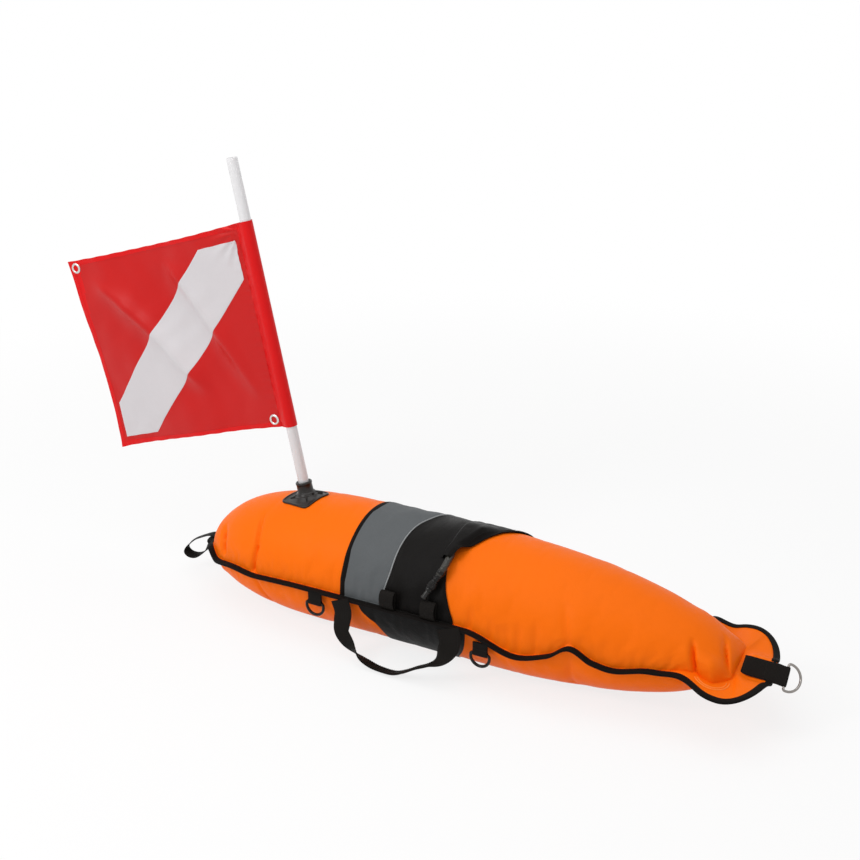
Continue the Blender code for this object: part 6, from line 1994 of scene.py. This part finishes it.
@dataclass
class Inflator:
    """Port, hose and oral valve: clamp, body, knurled ring and mouthpiece on one axis."""

    hull: Chamber
    port_x: float = 0.0200
    port_angle: float = 76.0
    root: Triple = (MOUTH_X, 55.5, 0.0080)
    valve_start: Pair = (0.0010, 37.0)
    valve_end: Pair = (-0.0165, 18.0)
    valve_lift: float = 0.0125
    hose: float = 0.0060
    hose_bore: float = 0.0036
    straight: float = 0.0100
    body: float = 0.0060
    ring_start: float = 0.0135
    ring_length: float = 0.0110
    ring_radius: float = 0.0072
    ribs: int = 16
    mouth: float = 0.0042
    mouth_bore: float = 0.0026
    mouth_lip: float = 0.0056
    mouth_start: float = 0.0220
    length: float = 0.0300

    def place(self, x: float, degrees: float, lift: float) -> Array:
        """A point over the smooth chamber, without folds."""
        at, angle = np.array(x), radians(degrees)
        half = float(self.hull.half(at)) + lift
        high = float(self.hull.rise(at, Cover.UPPER)) + lift
        level = float(self.hull.seam_height(at) + self.hull.gathered(at, np.array(angle)))
        return np.array([x, -half * cos(angle), level + self.hull.skin + high * sin(angle)])

    def axis(self) -> Matrix:
        """The valve's axis: origin where the hose ends, Z towards the mouthpiece's lip."""
        start, end = (Vector(self.place(*at, self.valve_lift)) for at in (self.valve_start, self.valve_end))
        along = (end - start).normalized()
        side = along.cross(Vector((1, 0, 0))).normalized()
        turn = Matrix((side.cross(along).normalized(), side, along)).transposed().to_4x4()
        turn.translation = start
        return turn

    def turn_piece(self, name: str, finish: Finish, body: str, profile: Sequence[Pair], ease: float) -> None:
        """One turned piece on the valve's axis."""
        add_piece(name, turned(softened(profile, ease), self.axis(), 48), finish, body)

    def build(self) -> None:
        """Port, hose, clamp, body, ring and mouthpiece, outwards from the float."""
        self.build_port()
        self.build_hose()
        grip = self.hose + GAP
        clamp = [(grip, -0.0085), (grip + 0.0009, -0.0080), (grip + 0.0009, -0.0035), (grip, -0.0030)]
        self.turn_piece("hose_clamp", BLACK_PLASTIC, "inflator", clamp, 0.0003)
        body, groove, bore = self.body, self.body - 0.0012, self.mouth + GAP
        low, high = self.ring_start, self.ring_start + self.ring_length
        self.turn_piece("valve_body", BLACK_PLASTIC, "inflator", [
            (0.0041, 0.0), (body, 0.0), (body, 0.0030), (groove, 0.0034), (groove, 0.0052), (body, 0.0056),
            (body, 0.0084), (groove, 0.0088), (groove, 0.0104), (body, 0.0108), (body, low - GAP),
            (groove, low - GAP), (groove, high + GAP), (body, high + GAP), (body, self.length - 0.0008),
            (body - 0.0008, self.length), (bore, self.length), (bore, 0.0101), (0.0022, 0.0101),
            (0.0022, 0.0085), (0.0041, 0.0085),
        ], 0.0003)
        self.build_ring(groove + GAP, low, high)
        reach = self.place(*self.valve_end, self.valve_lift) - np.array(self.axis().translation)
        end = float(np.linalg.norm(reach))
        mouth, bore, lip = self.mouth, self.mouth_bore, self.mouth_lip
        self.turn_piece("mouthpiece", MOUTH, "mouthpiece", [
            (bore, self.mouth_start), (mouth, self.mouth_start), (mouth, end - 0.0036), (lip, end - 0.0018),
            (lip, end - 0.0006), (lip - 0.0008, end), (bore + 0.0012, end), (bore, end - 0.0016),
        ], 0.0005)

    def build_port(self) -> None:
        """The welded port under the flap: a disc with a dome, its height falling as a superellipse."""
        turn = np.linspace(0, 2 * pi, 49)[None, :]
        radius = np.array([0.0, 0.0040, 0.0070, 0.0082, 0.0085, 0.0092, 0.0126, 0.0130, 0.0130, 0.0])[:, None]
        dome = 0.0090 * (1 - np.clip(radius / 0.0085, 0, 1) ** 2.6)
        lift = np.maximum(dome, 0.0014)
        lift[-2:] = GAP
        x = self.port_x + radius * np.cos(turn)
        angle = radians(self.port_angle) + radius * np.sin(turn) / self.hull.crown
        add_piece("inflator_port", swept(self.hull.over(x, angle, lift), False), RUBBER)

    def build_hose(self) -> None:
        """The hose: a cubic bend from its ball root, ending straight on the valve's axis."""
        axis = self.axis()
        root = self.place(*self.root)
        along = np.array(axis.to_3x3() @ Vector((0, 0, 1)))
        end = np.array(axis.translation) - along * GAP
        bend_end = end - along * self.straight
        leave = unit(self.place(self.root[0] - 0.004, self.root[1] - 12.0, self.root[2]) - root)
        pull = float(np.linalg.norm(bend_end - root))
        t = np.linspace(0, 1, 40)[:, None]
        bend = root * (2 * t**3 - 3 * t**2 + 1) + leave * pull * (t**3 - 2 * t**2 + t)
        bend = bend + bend_end * (3 * t**2 - 2 * t**3) + along * pull * (t**3 - t**2)
        tail = bend_end + (end - bend_end) * np.linspace(0, 1, 10)[1:, None]
        path = np.concatenate([bend, tail])
        ball = np.linspace(-0.998, -0.05, 9)
        line = np.concatenate([root + leave * self.hose * ball[:, None], path])
        swell = np.minimum(1 + 0.05 * np.sin(np.linspace(0, 9 * pi, len(path))), 1)
        radius = self.hose * np.concatenate([np.sqrt(1 - ball**2), swell])
        outer = round_bar(line, radius, 32, (1, 0, 0))
        inner = round_bar(path[6:], self.hose_bore, 32, (1, 0, 0))[::-1]
        add_piece("inflator_hose", swept(pointed(np.concatenate([outer, inner])), False), HOSE, "inflator")

    def build_ring(self, inner: float, low: float, high: float) -> None:
        """The knurled ring: its outer radius is r + h |cos(n a / 2)|^0.4, its ends are eased."""
        turn = np.linspace(0, 2 * pi, self.ribs * 10 + 1)
        knurl = 0.0006 * np.abs(np.cos(self.ribs * turn / 2)) ** 0.4
        outer = self.ring_radius
        rows = (
            (inner, 0.0, low), (outer - 0.0012, 0.0, low), (outer - 0.0008, 0.0, low + 0.0003),
            (outer - 0.0006, 1.0, low + 0.0010), (outer - 0.0006, 1.0, high - 0.0010),
            (outer - 0.0008, 0.0, high - 0.0003), (outer - 0.0012, 0.0, high), (inner, 0.0, high),
            (inner, 0.0, low),
        )
        grid = np.stack([polar(r + k * knurl, turn, z) for r, k, z in rows])
        add_piece("lock_ring", swept(placed(grid, self.axis()), False), BLACK_PLASTIC, "lock_ring", sharp=35)


# ---------------------------------------------------------------- studio


@dataclass
class Studio:
    """A pale floor, soft plain light, a white background and the camera."""

    eye: Triple = (0.847, -1.739, 1.166)
    bearing: float = 27.74
    elevation: float = 22.06
    focal_px: float = 1334.0
    frame_px: float = 860.0
    sensor: float = 36.0
    world: float = 0.57
    glow: float = 0.80
    near_glow: float = 0.8
    far_glow: float = 2.2
    reach: float = 80.0

    def build(self) -> None:
        """Camera, floor, lamps and world."""
        self.set_camera()
        self.lay_floor()
        self.hang_lamp("top_softbox", (-0.25, -0.25, 2.2), (0.0, 0.0, 0.1), 2.4, 21.0)
        self.hang_lamp("side_softbox", (-1.3, -1.9, 1.9), (0.0, 0.0, 0.25), 0.7, 20.0)
        self.light_world()
        bpy.context.scene.view_settings.view_transform = "Standard"

    def set_camera(self) -> None:
        """The camera at the photograph's angle: right, up and back as its matrix's columns."""
        turn, tilt = radians(self.bearing), radians(self.elevation)
        back = Vector((sin(turn) * cos(tilt), -cos(turn) * cos(tilt), sin(tilt)))
        right = Vector((cos(turn), sin(turn), 0.0))
        lens = bpy.data.cameras.new("camera")
        lens.sensor_width = self.sensor
        lens.lens = self.focal_px * self.sensor / self.frame_px
        lens.clip_start, lens.clip_end = 0.05, 300.0
        camera = add_object("camera", lens)
        stand = Matrix((right, back.cross(right), back)).transposed().to_4x4()
        stand.translation = Vector(self.eye)
        camera.matrix_world = stand
        bpy.context.scene.camera = camera

    def background_rays(self, shade: Shader) -> bpy.types.NodeSocket:
        """One for camera, mirror and see-through rays, none for the light that falls on things."""
        path = shade.add("ShaderNodeLightPath").outputs
        seen = shade.math("MAXIMUM", path["Is Camera Ray"], path["Is Glossy Ray"])
        return shade.math("MAXIMUM", seen, path["Is Transmission Ray"])

    def lay_floor(self) -> None:
        """A wide pale floor that shows white and keeps the float's soft shadow."""
        mesh = bpy.data.meshes.new("floor")
        corners = [(x * self.reach, y * self.reach, 0) for x, y in ((-1, -1), (1, -1), (1, 1), (-1, 1))]
        mesh.from_pydata(corners, [], [(0, 1, 2, 3)])
        floor = add_object("floor", mesh)
        made = bpy.data.materials.new("pale_floor")
        made.use_nodes = True
        shade, nodes = Shader(made.node_tree), made.node_tree.nodes
        body = nodes["Principled BSDF"]
        shade.fill(body, {"Base Color": (0.90, 0.90, 0.90, 1.0), "Roughness": 0.9, "Specular IOR Level": 0.1})
        glow = shade.add("ShaderNodeEmission", {"Strength": 1.0})
        blend = shade.add("ShaderNodeMixShader", {1: body.outputs[0], 2: glow.outputs[0]})
        middle = shade.add("ShaderNodeVectorMath", operation="LENGTH")
        shade.fill(middle, {0: shade.add("ShaderNodeTexCoord").outputs["Object"]})
        away = middle.outputs["Value"]
        bleached = shade.add("ShaderNodeMapRange", {
            "From Min": self.near_glow, "From Max": self.far_glow,
            "To Min": self.glow, "To Max": 1.0, "Value": away,
        }, interpolation_type="SMOOTHSTEP")
        seen = shade.math("MULTIPLY", self.background_rays(shade), bleached.outputs[0])
        shade.fill(blend, {0: seen})
        shade.fill(nodes["Material Output"], {"Surface": blend.outputs[0]})
        mesh.materials.append(made)

    def hang_lamp(self, name: str, place: Triple, aim: Triple, size: float, power: float) -> None:
        """A square softbox turned to a point."""
        lamp = bpy.data.lights.new(name, "AREA")
        lamp.shape = "SQUARE"
        lamp.size = size
        lamp.energy = power
        hung = add_object(name, lamp)
        hung.location = place
        hung.rotation_euler = (Vector(aim) - Vector(place)).to_track_quat("-Z", "Y").to_euler()

    def light_world(self) -> None:
        """White to the camera, and a plain even light on things."""
        world = bpy.data.worlds.new("studio")
        bpy.context.scene.world = world
        world.use_nodes = True
        shade = Shader(world.node_tree)
        lift = shade.math("MULTIPLY", self.background_rays(shade), 1.0 - self.world)
        strength = shade.math("ADD", lift, self.world)
        shade.fill(world.node_tree.nodes["Background"], {"Color": (1.0, 1.0, 1.0, 1.0), "Strength": strength})


HIDDEN = {
    "valve_spring": STEEL, "valve_stem": BLACK_PLASTIC, "valve_seal": RUBBER,
}


def dress_hidden_nodes() -> None:
    """Finishes the CAD nodes that stay: the valve's inner pieces."""
    for name, finish in HIDDEN.items():
        node = frame["nodes"][name]
        if not node.material_slots:
            node.data.materials.append(finish.material())
        for held in node.material_slots:
            held.material = finish.material()
        report.info("%s: kept, in %s", name, finish.name)


def main() -> None:
    """Builds every sub-assembly in order."""
    socket = MastSocket(HULL)
    assemblies = [Studio(), Covers(HULL), SeamBinding(HULL), Bands(HULL)]
    assemblies += [socket, FlagMast(socket), DiveFlag(socket)]
    assemblies += [SideRing(side, end) for side in Side for end in ("stern", "bow")]
    assemblies += [
        BowStrap(HULL), SternLoop(HULL), CarryHandle(),
        StandingLoop(HULL, "standing_loop_stern", -0.0800, 0.0030),
        StandingLoop(HULL, "standing_loop_bow", -0.0070, 0.0028),
        Inflator(HULL),
    ]
    for assembly in assemblies:
        assembly.build()
    dress_hidden_nodes()


if __name__ == "__main__":
    main()
